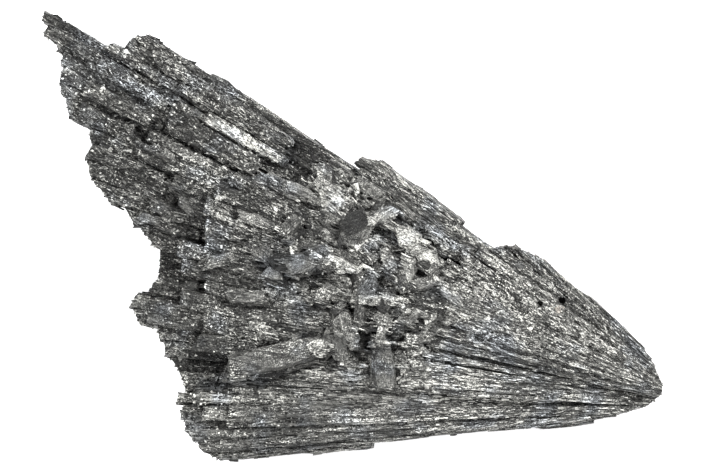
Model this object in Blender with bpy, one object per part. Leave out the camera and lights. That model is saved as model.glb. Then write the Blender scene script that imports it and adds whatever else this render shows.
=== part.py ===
"""A black kyanite fan: one natural cluster of flat blade crystals, grown together and spreading from a root.

Lengths in the tables are in millimetres and angles in degrees. Blender's own units are metres.
The frame: +Z is up, the fan lies flat on Z = 0, the root points towards +X, and the blades open towards -X.
The origin lies on the flat that the fan rests on, under the middle of the outline.

Every blade follows a ray from one focus, which lies just beyond the root. So a blade is placed by the two
azimuths between which it lies and the two radii between which it runs, both measured from the focus.
"""

import math
import random
from collections import namedtuple
from itertools import cycle

import bmesh
import bpy
from mathutils import Matrix, Vector

NODE_NAME = "kyanite_fan"
MM = 0.001

# Driving dimensions, in millimetres and degrees.
FOCUS_X = 52.7
FOCUS_Y = -25.7
ROOT_RADIUS = 7.0  # where the outline ends, beside the focus
ROOT_SLOPE_END = 30.0  # the radius where the body starts to round down to the root
ROOT_DROP = 5.0  # how far its top has sunk at the root
ROOT_RISE = 2.4  # how far its underside has risen there
OVERLAP = 1.30  # a blade is this much wider than its share of the fan, so neighbours grow together
LEAST_WIDTH = 1.2  # a blade stays this wide at its inner end
FLAT_SHARE = 0.62  # the flat top and bottom take this share of a blade's width, and the bevels the rest
ROOT_STATION = 0.4  # a blade that rounds down to the root bends here, as a share of its length
END_STATION = 0.8  # and every blade starts to narrow here towards its broken end
END_SHRINK = 0.84  # a broken end is this much narrower than the blade
PLATE_TAPER = 0.70  # one end of a plate is this wide, as a share of the other

# No two blades are quite alike. Each strays from its table row by up to this much, either way.
HEIGHT_STRAY = 0.32
ROLL_STRAY = 7.0
SKEW_STRAY = 0.4
STRAY_SEED = 13

# In metres.
WELD = 1e-6  # points nearer than this are one point
SLAB_WIDTH = 0.3
SLAB_DEPTH = 0.05

# A blade between azimuths az0 and az1, running from radius r0 to r1, with its top at z0 and z1 there.
# roll turns it about its own length: positive lowers the side with the larger azimuth.
# skew makes the broken outer end slant: positive leaves the side with the larger azimuth shorter.
Blade = namedtuple("Blade", "az0 az1 r0 r1 z0 z1 thick roll skew", defaults=(0.0, 0.0))

# The blades of the root half: the highest part, with a rounded shoulder on the right.
ROOT_BLADES = [
    Blade(136.4, 137.6, 15.6, 25.0, 10.0, 11.0, 6.0, -12, -1.0),
    Blade(137.7, 139.3, 13.0, 34.5, 11.8, 12.8, 9.0, -12, -1.5),
    Blade(139.3, 141.4, 10.8, 38.0, 13.2, 14.6, 11.0, -10, -1.0),
    Blade(141.5, 144.2, 9.8, 39.6, 14.6, 16.2, 13.0, -7, -0.6),
    Blade(144.0, 147.2, 9.2, 41.5, 15.5, 17.2, 14.0, -4, -0.5),
    Blade(146.8, 150.3, 8.4, 43.0, 16.2, 17.6, 14.0, -3, 1.0),
    Blade(149.8, 153.3, 7.9, 45.0, 16.6, 18.2, 14.0, 0, -1.0),
    Blade(152.8, 156.3, 7.4, 44.0, 17.0, 18.4, 14.0, 2, 0.5),
    Blade(155.8, 159.3, 7.2, 46.0, 16.8, 18.2, 14.0, 3, 0.0),
    Blade(158.8, 162.3, 7.0, 44.5, 16.2, 17.8, 13.5, 5, 1.0),
    Blade(161.8, 165.0, 7.1, 47.0, 15.4, 17.0, 13.0, 9, 0.0),
    Blade(164.6, 167.2, 7.6, 46.0, 14.2, 15.8, 12.0, 13, 0.0),
]

# A shallow dark groove parts the root half from the lower side. Thin ridges stand in it.
GROOVE_BLADES = [
    Blade(166.6, 170.4, 7.5, 47.0, 12.5, 14.2, 10.0, 8),
    Blade(168.4, 169.5, 18.0, 45.0, 13.6, 14.7, 4.0, 12),
    Blade(170.2, 171.8, 7.9, 47.5, 13.2, 14.8, 10.0, 0, 0.6),
    Blade(171.5, 174.0, 8.2, 46.5, 12.9, 14.4, 10.0, 4),
]

# The lower side: long smooth blades that run the whole way, with stepped broken ends.
LOWER_BLADES = [
    Blade(173.6, 175.4, 8.4, 46.4, 13.0, 14.6, 10.0, 2),
    Blade(175.0, 176.9, 8.8, 46.8, 12.6, 14.0, 10.0, 3, -0.6),
    Blade(176.6, 178.4, 9.2, 71.0, 12.2, 11.4, 9.5, 4),
    Blade(178.1, 179.6, 10.4, 76.8, 12.0, 11.2, 9.0, 5),
    Blade(179.4, 181.3, 11.4, 71.3, 11.8, 11.6, 9.0, 5, -0.4),
    Blade(179.5, 181.3, 60.0, 75.2, 10.4, 10.4, 5.0, 3),
    Blade(181.1, 182.5, 12.5, 71.6, 11.4, 11.4, 8.5, 8),
    Blade(182.3, 183.9, 13.4, 77.3, 10.8, 10.6, 8.0, 9, 0.6),
    Blade(183.8, 185.1, 17.0, 75.9, 9.8, 9.8, 7.5, 12, 0.6),
    Blade(184.7, 185.9, 18.0, 74.8, 8.2, 8.4, 6.5, 16, 1.2),
    Blade(185.8, 187.6, 16.6, 24.0, 6.4, 6.2, 4.5, 14, -1.0),
    Blade(185.3, 186.8, 50.0, 59.6, 5.8, 5.2, 4.0, 8),
    Blade(185.3, 186.2, 60.0, 73.9, 6.4, 6.2, 4.0, 10, 1.0),
]

# Small steps behind the lower side's broken ends.
LOWER_END_BLADES = [
    Blade(178.6, 179.5, 68.0, 79.2, 8.2, 8.0, 4.0),
    Blade(179.7, 181.3, 68.0, 78.5, 9.0, 8.8, 4.5, 4),
    Blade(181.2, 182.6, 68.0, 77.9, 9.4, 9.2, 5.0, 6, 0.3),
    Blade(183.9, 185.0, 60.0, 66.0, 10.9, 10.9, 3.0, 10),
]

# The shelf at the left, below the crown: an oblique broken edge, two lumps and a dark recess.
SHELF_BLADES = [
    Blade(163.0, 166.6, 55.0, 84.8, 6.6, 6.4, 4.5, 0, 1.0),
    Blade(166.2, 168.4, 58.0, 84.7, 9.4, 9.0, 5.0, 0, -0.4),
    Blade(168.6, 170.2, 60.0, 87.4, 6.8, 6.4, 4.5, 0, -0.6),
    Blade(170.0, 171.7, 60.0, 86.5, 6.4, 6.2, 4.5, 0, 0.9),
    Blade(168.9, 171.2, 56.0, 84.6, 11.2, 10.6, 5.0, 3),
    Blade(171.3, 172.9, 56.0, 82.8, 8.2, 8.0, 5.0, 2, 0.3),
    Blade(172.7, 174.6, 56.0, 81.6, 7.6, 7.4, 5.0, 2, 0.4),
    Blade(174.4, 176.2, 56.0, 79.9, 6.4, 6.2, 4.5, 0, 0.8),
    Blade(176.0, 178.5, 58.0, 78.4, 7.2, 7.0, 5.0, 0, 0.6),
]

# The second sheet, on the right behind the root half: its blunt end steps down to the wing.
SECOND_BLADES = [
    Blade(142.7, 143.8, 46.0, 61.8, 12.4, 12.0, 7.0, -8, -0.8),
    Blade(142.5, 143.2, 45.5, 55.4, 9.6, 9.4, 4.0, -8),
    Blade(143.7, 145.1, 38.0, 63.8, 14.0, 13.4, 7.0, -7),
    Blade(144.9, 146.5, 36.0, 62.8, 14.6, 14.0, 7.0, -4),
    Blade(146.2, 147.9, 38.0, 61.8, 15.2, 14.6, 7.0, -2),
    Blade(147.6, 149.5, 38.0, 60.0, 16.0, 15.4, 7.0),
    Blade(144.2, 145.5, 35.0, 41.5, 13.8, 13.8, 6.0, -8),
]

# The wing: the long thin sheet at the upper left, ragged where it broke.
WING_BLADES = [
    Blade(145.7, 146.4, 58.0, 71.8, 10.8, 10.4, 6.0, -6),
    Blade(145.8, 146.5, 58.0, 89.4, 11.0, 10.0, 6.0, -10),
    Blade(146.2, 147.2, 58.0, 101.4, 12.0, 9.6, 6.0, -6, -0.6),
    Blade(147.1, 148.6, 58.0, 102.4, 12.2, 9.6, 6.0, 0, -0.4),
    Blade(148.3, 149.3, 58.0, 104.8, 12.0, 9.6, 6.0, 0, -0.6),
    Blade(148.95, 149.8, 90.0, 115.4, 9.4, 7.4, 3.6, 2, 0.6),
    Blade(149.5, 150.6, 58.0, 114.0, 12.2, 8.6, 6.0, 3, 0.3),
    Blade(150.4, 151.1, 58.0, 111.4, 12.4, 8.2, 6.0, 1, 0.2),
    Blade(150.9, 152.0, 58.0, 109.8, 12.6, 8.6, 6.0, -2, 0.3),
    Blade(151.8, 153.2, 58.0, 108.8, 12.6, 8.8, 6.0, 2, 0.5),
    Blade(153.0, 154.1, 58.0, 107.9, 12.0, 8.2, 6.0, 6, 0.3),
    Blade(153.9, 155.5, 58.0, 105.8, 12.0, 8.6, 6.0, 0, 1.2),
    Blade(155.3, 156.7, 58.0, 100.9, 11.4, 8.8, 6.0, -3, 0.4),
    Blade(156.5, 158.1, 58.0, 100.1, 11.6, 9.2, 6.0, 2, 0.1),
    Blade(157.9, 159.5, 58.0, 99.2, 11.4, 9.0, 6.0, 3, 0.9),
    Blade(159.3, 160.9, 58.0, 96.4, 11.0, 8.8, 6.0, 4, 2.6),
    Blade(160.7, 162.2, 58.0, 91.2, 10.6, 8.4, 6.0, 5, 1.8),
    Blade(162.0, 163.7, 58.0, 87.6, 10.2, 8.0, 5.5, 6, 1.6),
]

# Shorter blades that lie on the wing and end in steps.
WING_TOP_BLADES = [
    Blade(146.9, 148.0, 73.5, 98.0, 12.4, 10.9, 3.0, -6, 0.5),
    Blade(148.0, 149.0, 74.0, 92.5, 12.2, 11.2, 3.0, 3, -0.4),
    Blade(149.2, 150.4, 72.6, 86.6, 13.3, 12.5, 3.2, 5, -0.4),
    Blade(150.5, 151.8, 66.0, 84.8, 13.0, 12.4, 3.5, -4),
    Blade(150.7, 152.7, 76.0, 91.2, 14.2, 12.8, 4.0, -2, 0.4),
    Blade(152.7, 153.4, 74.2, 76.3, 14.0, 13.8, 3.0, 6),
    Blade(153.3, 154.6, 68.0, 92.8, 13.8, 12.2, 4.0, 5),
    Blade(154.6, 156.1, 72.0, 93.8, 13.6, 11.8, 4.0, -4, 0.6),
    Blade(156.2, 157.5, 74.0, 86.6, 13.4, 12.4, 4.0, 6),
    Blade(157.5, 159.2, 74.0, 83.6, 13.6, 13.0, 4.0, -5),
    Blade(159.2, 160.4, 76.0, 88.6, 12.0, 11.0, 3.4, 4, 0.6),
    Blade(150.0, 151.2, 92.5, 106.0, 10.9, 9.6, 2.6, 4, 0.5),
    Blade(152.0, 153.2, 93.6, 104.6, 11.0, 9.9, 2.6, -5, 0.4),
    Blade(153.9, 154.9, 95.0, 103.8, 10.8, 9.8, 2.6, 6),
    Blade(156.6, 157.7, 88.0, 97.6, 11.2, 10.4, 2.8, -4, 0.5),
    Blade(160.6, 161.8, 80.0, 87.4, 11.4, 10.4, 3.0, 6, 0.8),
]

# The crown: the highest sheet in the middle, which ends in a long stepped break.
CROWN_BLADES = [
    Blade(146.3, 147.9, 50.0, 67.4, 14.6, 13.4, 5.0, -4),
    Blade(147.7, 149.2, 50.0, 67.8, 15.2, 14.0, 5.0, -2),
    Blade(149.0, 150.5, 50.0, 68.8, 16.2, 15.0, 5.0, 0),
    Blade(150.3, 151.8, 50.0, 69.6, 16.8, 15.6, 5.0, -2),
    Blade(151.6, 153.5, 46.0, 74.0, 17.4, 16.4, 5.5, 2),
    Blade(153.3, 155.1, 46.0, 78.8, 17.6, 16.2, 5.5, 0),
    Blade(154.9, 156.9, 46.0, 80.0, 17.8, 16.4, 5.5, 2),
    Blade(156.7, 158.9, 46.0, 80.7, 18.0, 16.4, 5.5, -2),
    Blade(158.7, 160.6, 46.0, 79.6, 17.6, 16.0, 5.5, 3),
    Blade(160.4, 162.4, 44.0, 78.8, 17.2, 15.4, 5.5, 0),
    Blade(162.2, 163.9, 44.0, 82.4, 16.4, 14.2, 5.5, 4),
    Blade(163.7, 165.5, 44.0, 81.2, 15.8, 13.2, 5.5, 7),
    Blade(165.3, 167.2, 44.0, 77.0, 15.6, 13.4, 5.0, -3),
    Blade(167.0, 169.1, 44.0, 80.2, 15.2, 12.8, 5.0, 2),
    Blade(168.9, 171.5, 44.0, 76.2, 14.8, 12.8, 5.0, 3),
    Blade(171.3, 173.5, 45.0, 76.8, 14.0, 12.2, 5.0, 5, -1.0),
    Blade(173.3, 175.4, 45.0, 71.0, 13.0, 11.8, 5.0, 2),
    Blade(175.2, 177.0, 45.0, 71.6, 12.6, 11.2, 5.0, 2),
]

# The hidden sheets inside and underneath, which carry the others. They keep inside the outline above.
INNER_BLADES = [
    Blade(144.2, 151.0, 12.0, 60.0, 10.0, 10.0, 9.0),
    Blade(150.0, 160.5, 8.2, 66.0, 10.5, 11.0, 9.6),
    Blade(159.5, 171.0, 8.0, 66.0, 10.0, 10.5, 9.4),
    Blade(170.0, 178.5, 9.4, 66.0, 8.5, 8.5, 8.0),
    Blade(177.5, 184.2, 16.0, 70.0, 7.8, 7.8, 7.4),
    Blade(147.4, 155.0, 50.0, 95.0, 8.6, 6.8, 5.6),
    Blade(154.0, 161.0, 50.0, 90.0, 8.6, 6.6, 5.8),
    Blade(161.0, 171.0, 50.0, 78.0, 7.4, 5.2, 5.4),
]

UNDER_BLADES = [
    Blade(143.4, 146.0, 22.0, 58.0, 6.6, 6.2, 5.4, -5),
    Blade(145.6, 149.0, 17.0, 66.0, 5.4, 5.2, 4.8, -2),
    Blade(148.6, 152.6, 19.0, 93.0, 5.0, 5.8, 4.6, 1),
    Blade(152.2, 156.4, 16.0, 84.0, 4.6, 4.6, 5.0, 0),
    Blade(156.0, 160.0, 18.0, 90.0, 4.8, 5.0, 4.6, -1),
    Blade(159.6, 164.2, 16.5, 76.0, 4.6, 4.6, 5.2, 1),
    Blade(163.8, 168.4, 18.0, 74.0, 4.6, 4.4, 4.8, 0),
    Blade(168.0, 172.6, 16.0, 80.0, 4.8, 4.6, 5.2, -1),
    Blade(172.2, 176.8, 18.0, 72.0, 5.0, 4.6, 5.0, 1),
    Blade(176.4, 180.8, 17.0, 75.0, 5.6, 5.2, 5.4, 0),
    Blade(180.4, 184.4, 22.0, 72.0, 5.8, 5.2, 5.0, 3),
]

# Every group of blades. The first inner blade is the one that the others are joined to.
BLADE_GROUPS = (
    ROOT_BLADES,
    GROOVE_BLADES,
    LOWER_BLADES,
    LOWER_END_BLADES,
    SHELF_BLADES,
    SECOND_BLADES,
    WING_BLADES,
    WING_TOP_BLADES,
    CROWN_BLADES,
    INNER_BLADES[1:],
    UNDER_BLADES,
)

# A plate or lath that lies across the fan: its middle, its size, and its turns about Z, Y and X.
Plate = namedtuple("Plate", "x y z length width thick yaw pitch roll")

CROSS_PLATES = [
    Plate(-10.8, -17.9, 14.4, 15.6, 4.4, 3.0, 13, 3, -10),
    Plate(-4.6, -16.2, 15.3, 3.8, 3.0, 2.4, 62, 12, 10),
    Plate(-1.6, -16.4, 15.2, 4.4, 3.0, 2.6, 104, -10, -14),
    Plate(-1.2, -13.6, 16.2, 6.0, 2.2, 2.4, 112, 8, 16),
    Plate(1.2, -10.8, 17.4, 5.2, 2.0, 2.2, 84, -12, -12),
    Plate(4.3, -19.0, 15.4, 7.2, 3.9, 2.6, 96, -6, 5),
    Plate(4.3, -13.6, 17.8, 5.4, 1.5, 1.8, 78, 8, -8),
    Plate(11.4, -3.6, 18.3, 4.0, 3.2, 2.6, -62, 14, 10),
    Plate(8.0, -4.6, 18.4, 4.6, 3.2, 2.6, 66, -10, -16),
    Plate(8.4, -0.6, 18.2, 4.2, 3.0, 2.4, -20, 10, 12),
    Plate(5.4, -3.6, 18.4, 4.4, 2.6, 2.6, 108, 12, -12),
    Plate(0.6, 1.0, 17.6, 5.2, 4.2, 2.6, 58, -14, 10),
    Plate(10.6, -7.0, 18.1, 4.2, 2.6, 2.2, 20, -10, -12),
    Plate(-2.4, -3.4, 18.2, 7.6, 2.6, 2.6, -26, 6, 10),
    Plate(-8.0, -4.2, 17.5, 5.2, 3.6, 2.4, 22, -8, -12),
    Plate(4.4, -9.2, 18.2, 8.0, 1.8, 2.2, -10, 4, 12),
    Plate(-14.2, 8.4, 15.9, 2.2, 1.8, 2.4, 40, 8, 10),
    Plate(-11.8, -5.4, 16.9, 3.0, 2.4, 2.2, -12, -10, 14),
    Plate(-4.6, -8.4, 17.2, 3.2, 2.0, 2.2, 24, 12, -10),
    Plate(4.6, 3.0, 17.7, 3.4, 2.4, 2.4, 35, 10, 12),
    Plate(-24.4, -7.8, 9.6, 2.6, 2.2, 3.0, 20, 0, 0),
    Plate(9.0, -11.6, 17.4, 4.4, 2.2, 2.2, 46, 8, -12),
    Plate(1.8, -6.6, 18.2, 4.2, 2.8, 2.6, 70, -12, 12),
    Plate(-19.4, -3.2, 14.2, 6.2, 2.0, 2.4, 14, 6, 14),
    Plate(-15.8, -9.0, 14.6, 6.0, 2.4, 2.2, -6, -6, -12),
    Plate(-13.6, -2.4, 16.2, 5.4, 2.6, 2.4, -44, 6, 12),
    Plate(-8.0, 6.4, 17.2, 5.0, 2.2, 2.2, -18, 8, -12),
    Plate(-4.0, 9.2, 14.6, 4.2, 2.6, 2.2, -52, -6, 12),
    Plate(2.2, 7.2, 14.9, 4.8, 2.2, 2.2, -28, 8, 10),
    Plate(14.4, -8.6, 17.7, 4.4, 2.4, 2.2, -36, 6, -10),
    Plate(9.8, -15.2, 15.6, 4.6, 1.8, 2.0, 6, 6, -10),
    Plate(-24.4, 4.6, 12.2, 4.0, 2.2, 2.2, -34, 8, 10),
    Plate(-30.4, 2.6, 9.3, 3.8, 1.8, 2.2, -14, -4, 8),
    Plate(-28.4, 12.2, 12.0, 4.2, 1.6, 2.0, -30, 6, -10),
    Plate(-14.2, 2.4, 16.4, 5.4, 1.8, 2.2, -20, 8, 10),
    Plate(-9.0, 1.4, 17.4, 4.0, 2.6, 2.2, 40, 8, -12),
]


# The broken ends of the plates slant. These are the slants of the near and the far end, taken in turn.
PLATE_SLANTS = [(0.2, -0.3), (-0.5, 0.8), (0.7, 0.4), (0.9, -0.3), (-0.8, 0.5)]


# A small dark pit in the root half: where it is, how wide it is at the top, and how deep.
Pit = namedtuple("Pit", "azimuth radius height width depth")

PITS = [
    Pit(143.2, 27.0, 15.3, 1.6, 2.0),
    Pit(147.8, 29.5, 16.9, 1.3, 1.7),
]
PIT_SIDES = 7
PIT_FLOOR = 0.5  # the floor of a pit is this wide, as a share of its top
PIT_RISE = 1.0  # the cutter stands this far out of the surface


def clear_scene():
    for obj in list(bpy.data.objects):
        bpy.data.objects.remove(obj)


def on_ray(azimuth, radius, height):
    """The point at that azimuth and radius from the focus, in metres."""
    angle = math.radians(azimuth)
    x = FOCUS_X + radius * math.cos(angle)
    y = FOCUS_Y + radius * math.sin(angle)
    return Vector((x, y, height)) * MM


def root_rounding(radius):
    """How far the body has rounded down to its root at that radius: 0 for not at all, 1 at the root."""
    share = (ROOT_SLOPE_END - radius) / (ROOT_SLOPE_END - ROOT_RADIUS)
    return max(0.0, share) ** 2


def make_bar(name, stations=()):
    """A closed six-sided bar, cut at the stations: x from 0 to 1 along it, y and z from -1 to 1 across."""
    mesh = bmesh.new()
    bmesh.ops.create_cone(mesh, cap_ends=True, segments=6, radius1=1.0, radius2=1.0, depth=1.0)
    lay_down = Matrix.Rotation(math.radians(90), 4, "Y")
    bmesh.ops.transform(mesh, matrix=Matrix.Translation((0.5, 0.0, 0.0)) @ lay_down, verts=mesh.verts)
    for vertex in mesh.verts:
        on_side = abs(vertex.co.z) < 0.1
        vertex.co.y = math.copysign(1.0 if on_side else FLAT_SHARE, vertex.co.y)
        vertex.co.z = 0.0 if on_side else math.copysign(1.0, vertex.co.z)
    for station in stations:
        everything = mesh.verts[:] + mesh.edges[:] + mesh.faces[:]
        bmesh.ops.bisect_plane(mesh, geom=everything, plane_co=(station, 0, 0), plane_no=(1, 0, 0))
    data = bpy.data.meshes.new(name)
    mesh.to_mesh(data)
    mesh.free()
    return data


def make_blade(blade):
    """A bar with its corners moved to the blade's place in the fan."""
    reaches_root = blade.r0 < ROOT_SLOPE_END
    data = make_bar("blade", (ROOT_STATION, END_STATION) if reaches_root else (END_STATION,))
    middle = (blade.az0 + blade.az1) / 2
    half_angle = math.radians(blade.az1 - blade.az0) / 2 * OVERLAP
    slope = math.tan(math.radians(blade.roll))
    for vertex in data.vertices:
        along, across, up = vertex.co
        radius = blade.r0 + along * (blade.r1 - blade.r0)
        half_width = max(LEAST_WIDTH / 2, half_angle * radius)
        if along > 0.99:
            half_width *= END_SHRINK
            radius -= blade.skew * across
        sideways = across * half_width
        flat = blade.z0 + along * (blade.z1 - blade.z0)
        top = flat - ROOT_DROP * root_rounding(radius)
        bottom = flat - blade.thick + ROOT_RISE * root_rounding(radius)
        height = (top + bottom) / 2 + up * (top - bottom) / 2 - sideways * slope
        vertex.co = on_ray(middle + math.degrees(sideways / radius), radius, height)
    return data


def make_plate(plate, slants):
    """A bar turned into a plate that lies across the fan, with its ends cut at a slant."""
    data = make_bar("plate")
    turn = (
        Matrix.Rotation(math.radians(plate.yaw), 4, "Z")
        @ Matrix.Rotation(math.radians(plate.pitch), 4, "Y")
        @ Matrix.Rotation(math.radians(plate.roll), 4, "X")
    )
    centre = Vector((plate.x, plate.y, plate.z))
    for vertex in data.vertices:
        along, across, up = vertex.co
        half_width = plate.width / 2 * (1.0 - (1.0 - PLATE_TAPER) * along)
        shift = across * half_width * (slants[0] if along < 0.5 else -slants[1])
        corner = Vector(((along - 0.5) * plate.length + shift, across * half_width, up * plate.thick / 2))
        vertex.co = (centre + turn @ corner) * MM
    return data


def add_object(name, data, collection):
    obj = bpy.data.objects.new(name, data)
    collection.objects.link(obj)
    return obj


def add_collection(name):
    collection = bpy.data.collections.new(name)
    bpy.context.scene.collection.children.link(collection)
    return collection


def add_operand(name, data, collection):
    """An object that a Boolean reads, shown as wires only."""
    obj = add_object(name, data, collection)
    obj.hide_render = True
    obj.display_type = "WIRE"
    return obj


def strayed(blade, dice):
    """The blade with its own small departures from the table."""
    lift = dice.uniform(-HEIGHT_STRAY, HEIGHT_STRAY)
    return blade._replace(
        z0=blade.z0 + lift,
        z1=blade.z1 + lift,
        roll=blade.roll + dice.uniform(-ROLL_STRAY, ROLL_STRAY),
        skew=blade.skew + dice.uniform(-SKEW_STRAY, SKEW_STRAY),
    )


def add_blades(collection):
    dice = random.Random(STRAY_SEED)
    for group in BLADE_GROUPS:
        for blade in group:
            add_operand("blade", make_blade(strayed(blade, dice)), collection)
    for plate, slants in zip(CROSS_PLATES, cycle(PLATE_SLANTS)):
        add_operand("plate", make_plate(plate, slants), collection)


def add_ground_cutter(collection):
    """A slab whose top is the plane that the fan rests on."""
    mesh = bmesh.new()
    bmesh.ops.create_cube(mesh, size=1.0)
    slab = Matrix.Diagonal((SLAB_WIDTH, SLAB_WIDTH, SLAB_DEPTH, 1.0))
    bmesh.ops.transform(mesh, matrix=slab, verts=mesh.verts)
    bmesh.ops.translate(mesh, verts=mesh.verts, vec=(0.0, 0.0, -SLAB_DEPTH / 2))
    data = bpy.data.meshes.new("ground_cutter")
    mesh.to_mesh(data)
    mesh.free()
    return add_operand("ground_cutter", data, collection)


def add_pit_cutter(pit, collection):
    """A cone, upside down, that hollows one pit."""
    mesh = bmesh.new()
    top = pit.width / 2 * MM
    tall = (pit.depth + PIT_RISE) * MM
    bmesh.ops.create_cone(
        mesh, cap_ends=True, segments=PIT_SIDES, radius1=top * PIT_FLOOR, radius2=top, depth=tall
    )
    middle = on_ray(pit.azimuth, pit.radius, pit.height) + Vector((0, 0, PIT_RISE * MM - tall / 2))
    bmesh.ops.translate(mesh, verts=mesh.verts, vec=middle)
    data = bpy.data.meshes.new("pit_cutter")
    mesh.to_mesh(data)
    mesh.free()
    return add_operand("pit_cutter", data, collection)


def boolean(obj, name, operation):
    modifier = obj.modifiers.new(name, "BOOLEAN")
    modifier.operation = operation
    modifier.solver = "EXACT"
    return modifier


def evaluated_mesh(obj):
    graph = bpy.context.evaluated_depsgraph_get()
    return bpy.data.meshes.new_from_object(obj.evaluated_get(graph))


def faces_joined_to(start):
    """The faces that can be reached from one face without leaving the surface."""
    found = {start}
    waiting = [start]
    while waiting:
        face = waiting.pop()
        for edge in face.edges:
            for neighbour in edge.link_faces:
                if neighbour not in found:
                    found.add(neighbour)
                    waiting.append(neighbour)
    return found


def keep_outer_skin(data):
    """Fills the sealed pockets left between the blades: only the largest closed surface stays."""
    mesh = bmesh.new()
    mesh.from_mesh(data)
    bmesh.ops.remove_doubles(mesh, verts=mesh.verts, dist=WELD)
    bmesh.ops.dissolve_degenerate(mesh, edges=mesh.edges, dist=WELD)
    left = set(mesh.faces)
    skins = []
    while left:
        skin = faces_joined_to(next(iter(left)))
        skins.append(skin)
        left -= skin
    outer = max(skins, key=len)
    pockets = [face for face in mesh.faces if face not in outer]
    bmesh.ops.delete(mesh, geom=pockets, context="FACES")
    bmesh.ops.triangulate(mesh, faces=mesh.faces)
    mesh.to_mesh(data)
    mesh.free()


def kyanite_material():
    material = bpy.data.materials.new("black_kyanite")
    material.use_nodes = True
    shader = material.node_tree.nodes["Principled BSDF"]
    shader.inputs["Base Color"].default_value = (0.16, 0.165, 0.16, 1.0)
    shader.inputs["Roughness"].default_value = 0.42
    shader.inputs["Metallic"].default_value = 0.0
    return material


def main():
    clear_scene()
    parts = add_collection(NODE_NAME)
    blades = add_collection("blades")
    cutters = add_collection("cutters")
    add_blades(blades)
    ground = add_ground_cutter(cutters)

    grown = add_object("grown_blades", make_blade(INNER_BLADES[0]), parts)
    join = boolean(grown, "grow_together", "UNION")
    join.operand_type = "COLLECTION"
    join.collection = blades
    rest = boolean(grown, "resting_flat", "DIFFERENCE")
    rest.object = ground
    for pit in PITS:
        hollow = boolean(grown, "pit", "DIFFERENCE")
        hollow.object = add_pit_cutter(pit, cutters)

    data = evaluated_mesh(grown)
    keep_outer_skin(data)
    data.name = NODE_NAME
    data.materials.append(kyanite_material())
    add_object(NODE_NAME, data, parts)
    bpy.data.objects.remove(grown)


main()
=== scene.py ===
# %% [markdown]
# # A black kyanite fan
#
# Black kyanite grows as flat blades that share one root and open like a hand of cards. A loose fan is dark
# grey, ragged where it broke, and covered with fine parallel striations that glint like brushed metal.
#
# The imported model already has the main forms: the sheets of blades, their ledges and the crystals that lie
# across them. Here that body stays as it is, and the fine crystals are grown on it: long laths, broken
# ends, chips, fibres and grains. Each finds its place by a ray cast onto the body, so it always sits on
# what carries it. The other way would be to write out a place for each one, and no one could read that.

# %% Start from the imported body
import math
from itertools import cycle

import bmesh
import bpy
import numpy as np
from mathutils import Euler, Matrix, Vector
from mathutils.bvhtree import BVHTree


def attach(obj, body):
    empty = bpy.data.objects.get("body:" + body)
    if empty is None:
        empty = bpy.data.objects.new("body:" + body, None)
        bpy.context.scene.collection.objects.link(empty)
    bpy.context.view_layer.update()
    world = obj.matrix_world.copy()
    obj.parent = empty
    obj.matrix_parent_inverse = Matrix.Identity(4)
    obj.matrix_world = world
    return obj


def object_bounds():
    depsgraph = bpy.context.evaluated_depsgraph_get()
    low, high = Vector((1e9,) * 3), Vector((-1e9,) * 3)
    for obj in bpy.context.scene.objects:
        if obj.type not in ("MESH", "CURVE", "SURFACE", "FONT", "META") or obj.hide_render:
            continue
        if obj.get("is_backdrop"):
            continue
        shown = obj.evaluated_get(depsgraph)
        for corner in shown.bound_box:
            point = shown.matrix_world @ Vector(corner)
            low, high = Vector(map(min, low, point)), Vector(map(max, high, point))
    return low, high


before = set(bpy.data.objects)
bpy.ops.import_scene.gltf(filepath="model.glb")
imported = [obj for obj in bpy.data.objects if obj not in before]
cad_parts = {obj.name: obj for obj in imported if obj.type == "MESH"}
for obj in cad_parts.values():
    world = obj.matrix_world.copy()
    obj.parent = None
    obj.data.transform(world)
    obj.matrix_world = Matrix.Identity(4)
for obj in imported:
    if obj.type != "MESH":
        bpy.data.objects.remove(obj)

NODE = "kyanite_fan"
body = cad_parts[NODE]
cad_low, cad_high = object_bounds()
print("the body measures", [round((high - low) * 1000, 1) for low, high in zip(cad_low, cad_high)], "mm")

# %% [markdown]
# ## Where things are
#
# All blades follow rays from one focus, just beyond the root. So places on the fan are easiest to name as an
# azimuth, in degrees, and a radius from the focus. Lengths here are in millimetres, because that is how one
# thinks of crystals, and one helper turns them into Blender's metres.

# %% The fan's own coordinates
MM = 0.001
FOCUS = np.array([52.7, -25.7])
dice = np.random.default_rng  # from a seed, so that each run gives the same fan


def fan_point(azimuth, radius, height=0.0):
    """Points in millimetres, from azimuths in degrees and radii from the focus. Arrays are welcome."""
    angle = np.radians(azimuth)
    x = FOCUS[0] + radius * np.cos(angle)
    y = FOCUS[1] + radius * np.sin(angle)
    return np.stack(np.broadcast_arrays(x, y, height), axis=-1)


def columns(rows):
    """The columns of a table, each as one array."""
    return [np.array(column) for column in zip(*rows)]


def polar(x, y):
    """The azimuth and the radius of a point in millimetres."""
    across, up = x - FOCUS[0], y - FOCUS[1]
    return np.degrees(np.arctan2(up, across)) % 360, np.hypot(across, up)


def rays(azimuth):
    """Unit vectors that point outward along the blades."""
    angle = np.radians(azimuth)
    return np.stack([np.cos(angle), np.sin(angle), np.zeros_like(angle)], axis=-1)


# %% [markdown]
# ## The camera, the floor and the light
#
# The fan lies on a pale floor and is seen from straight above. A long lens keeps the blades that rise
# towards the camera from looking larger than those on the floor. The light is soft: two wide lamps stand
# left and right, and a weaker one in front. None hangs straight overhead, so the flat faces stay a quiet
# grey and only the tilted ones glint.

# %% Camera
def new_object(name, data):
    """An object in the scene that shows that data."""
    made = bpy.data.objects.new(name, data)
    bpy.context.scene.collection.objects.link(made)
    return made


VIEW_WIDTH = 106.2
VIEW_CENTRE = (0.075, 0.075, 9.0)
LENS = 300.0
SENSOR = 36.0

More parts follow.
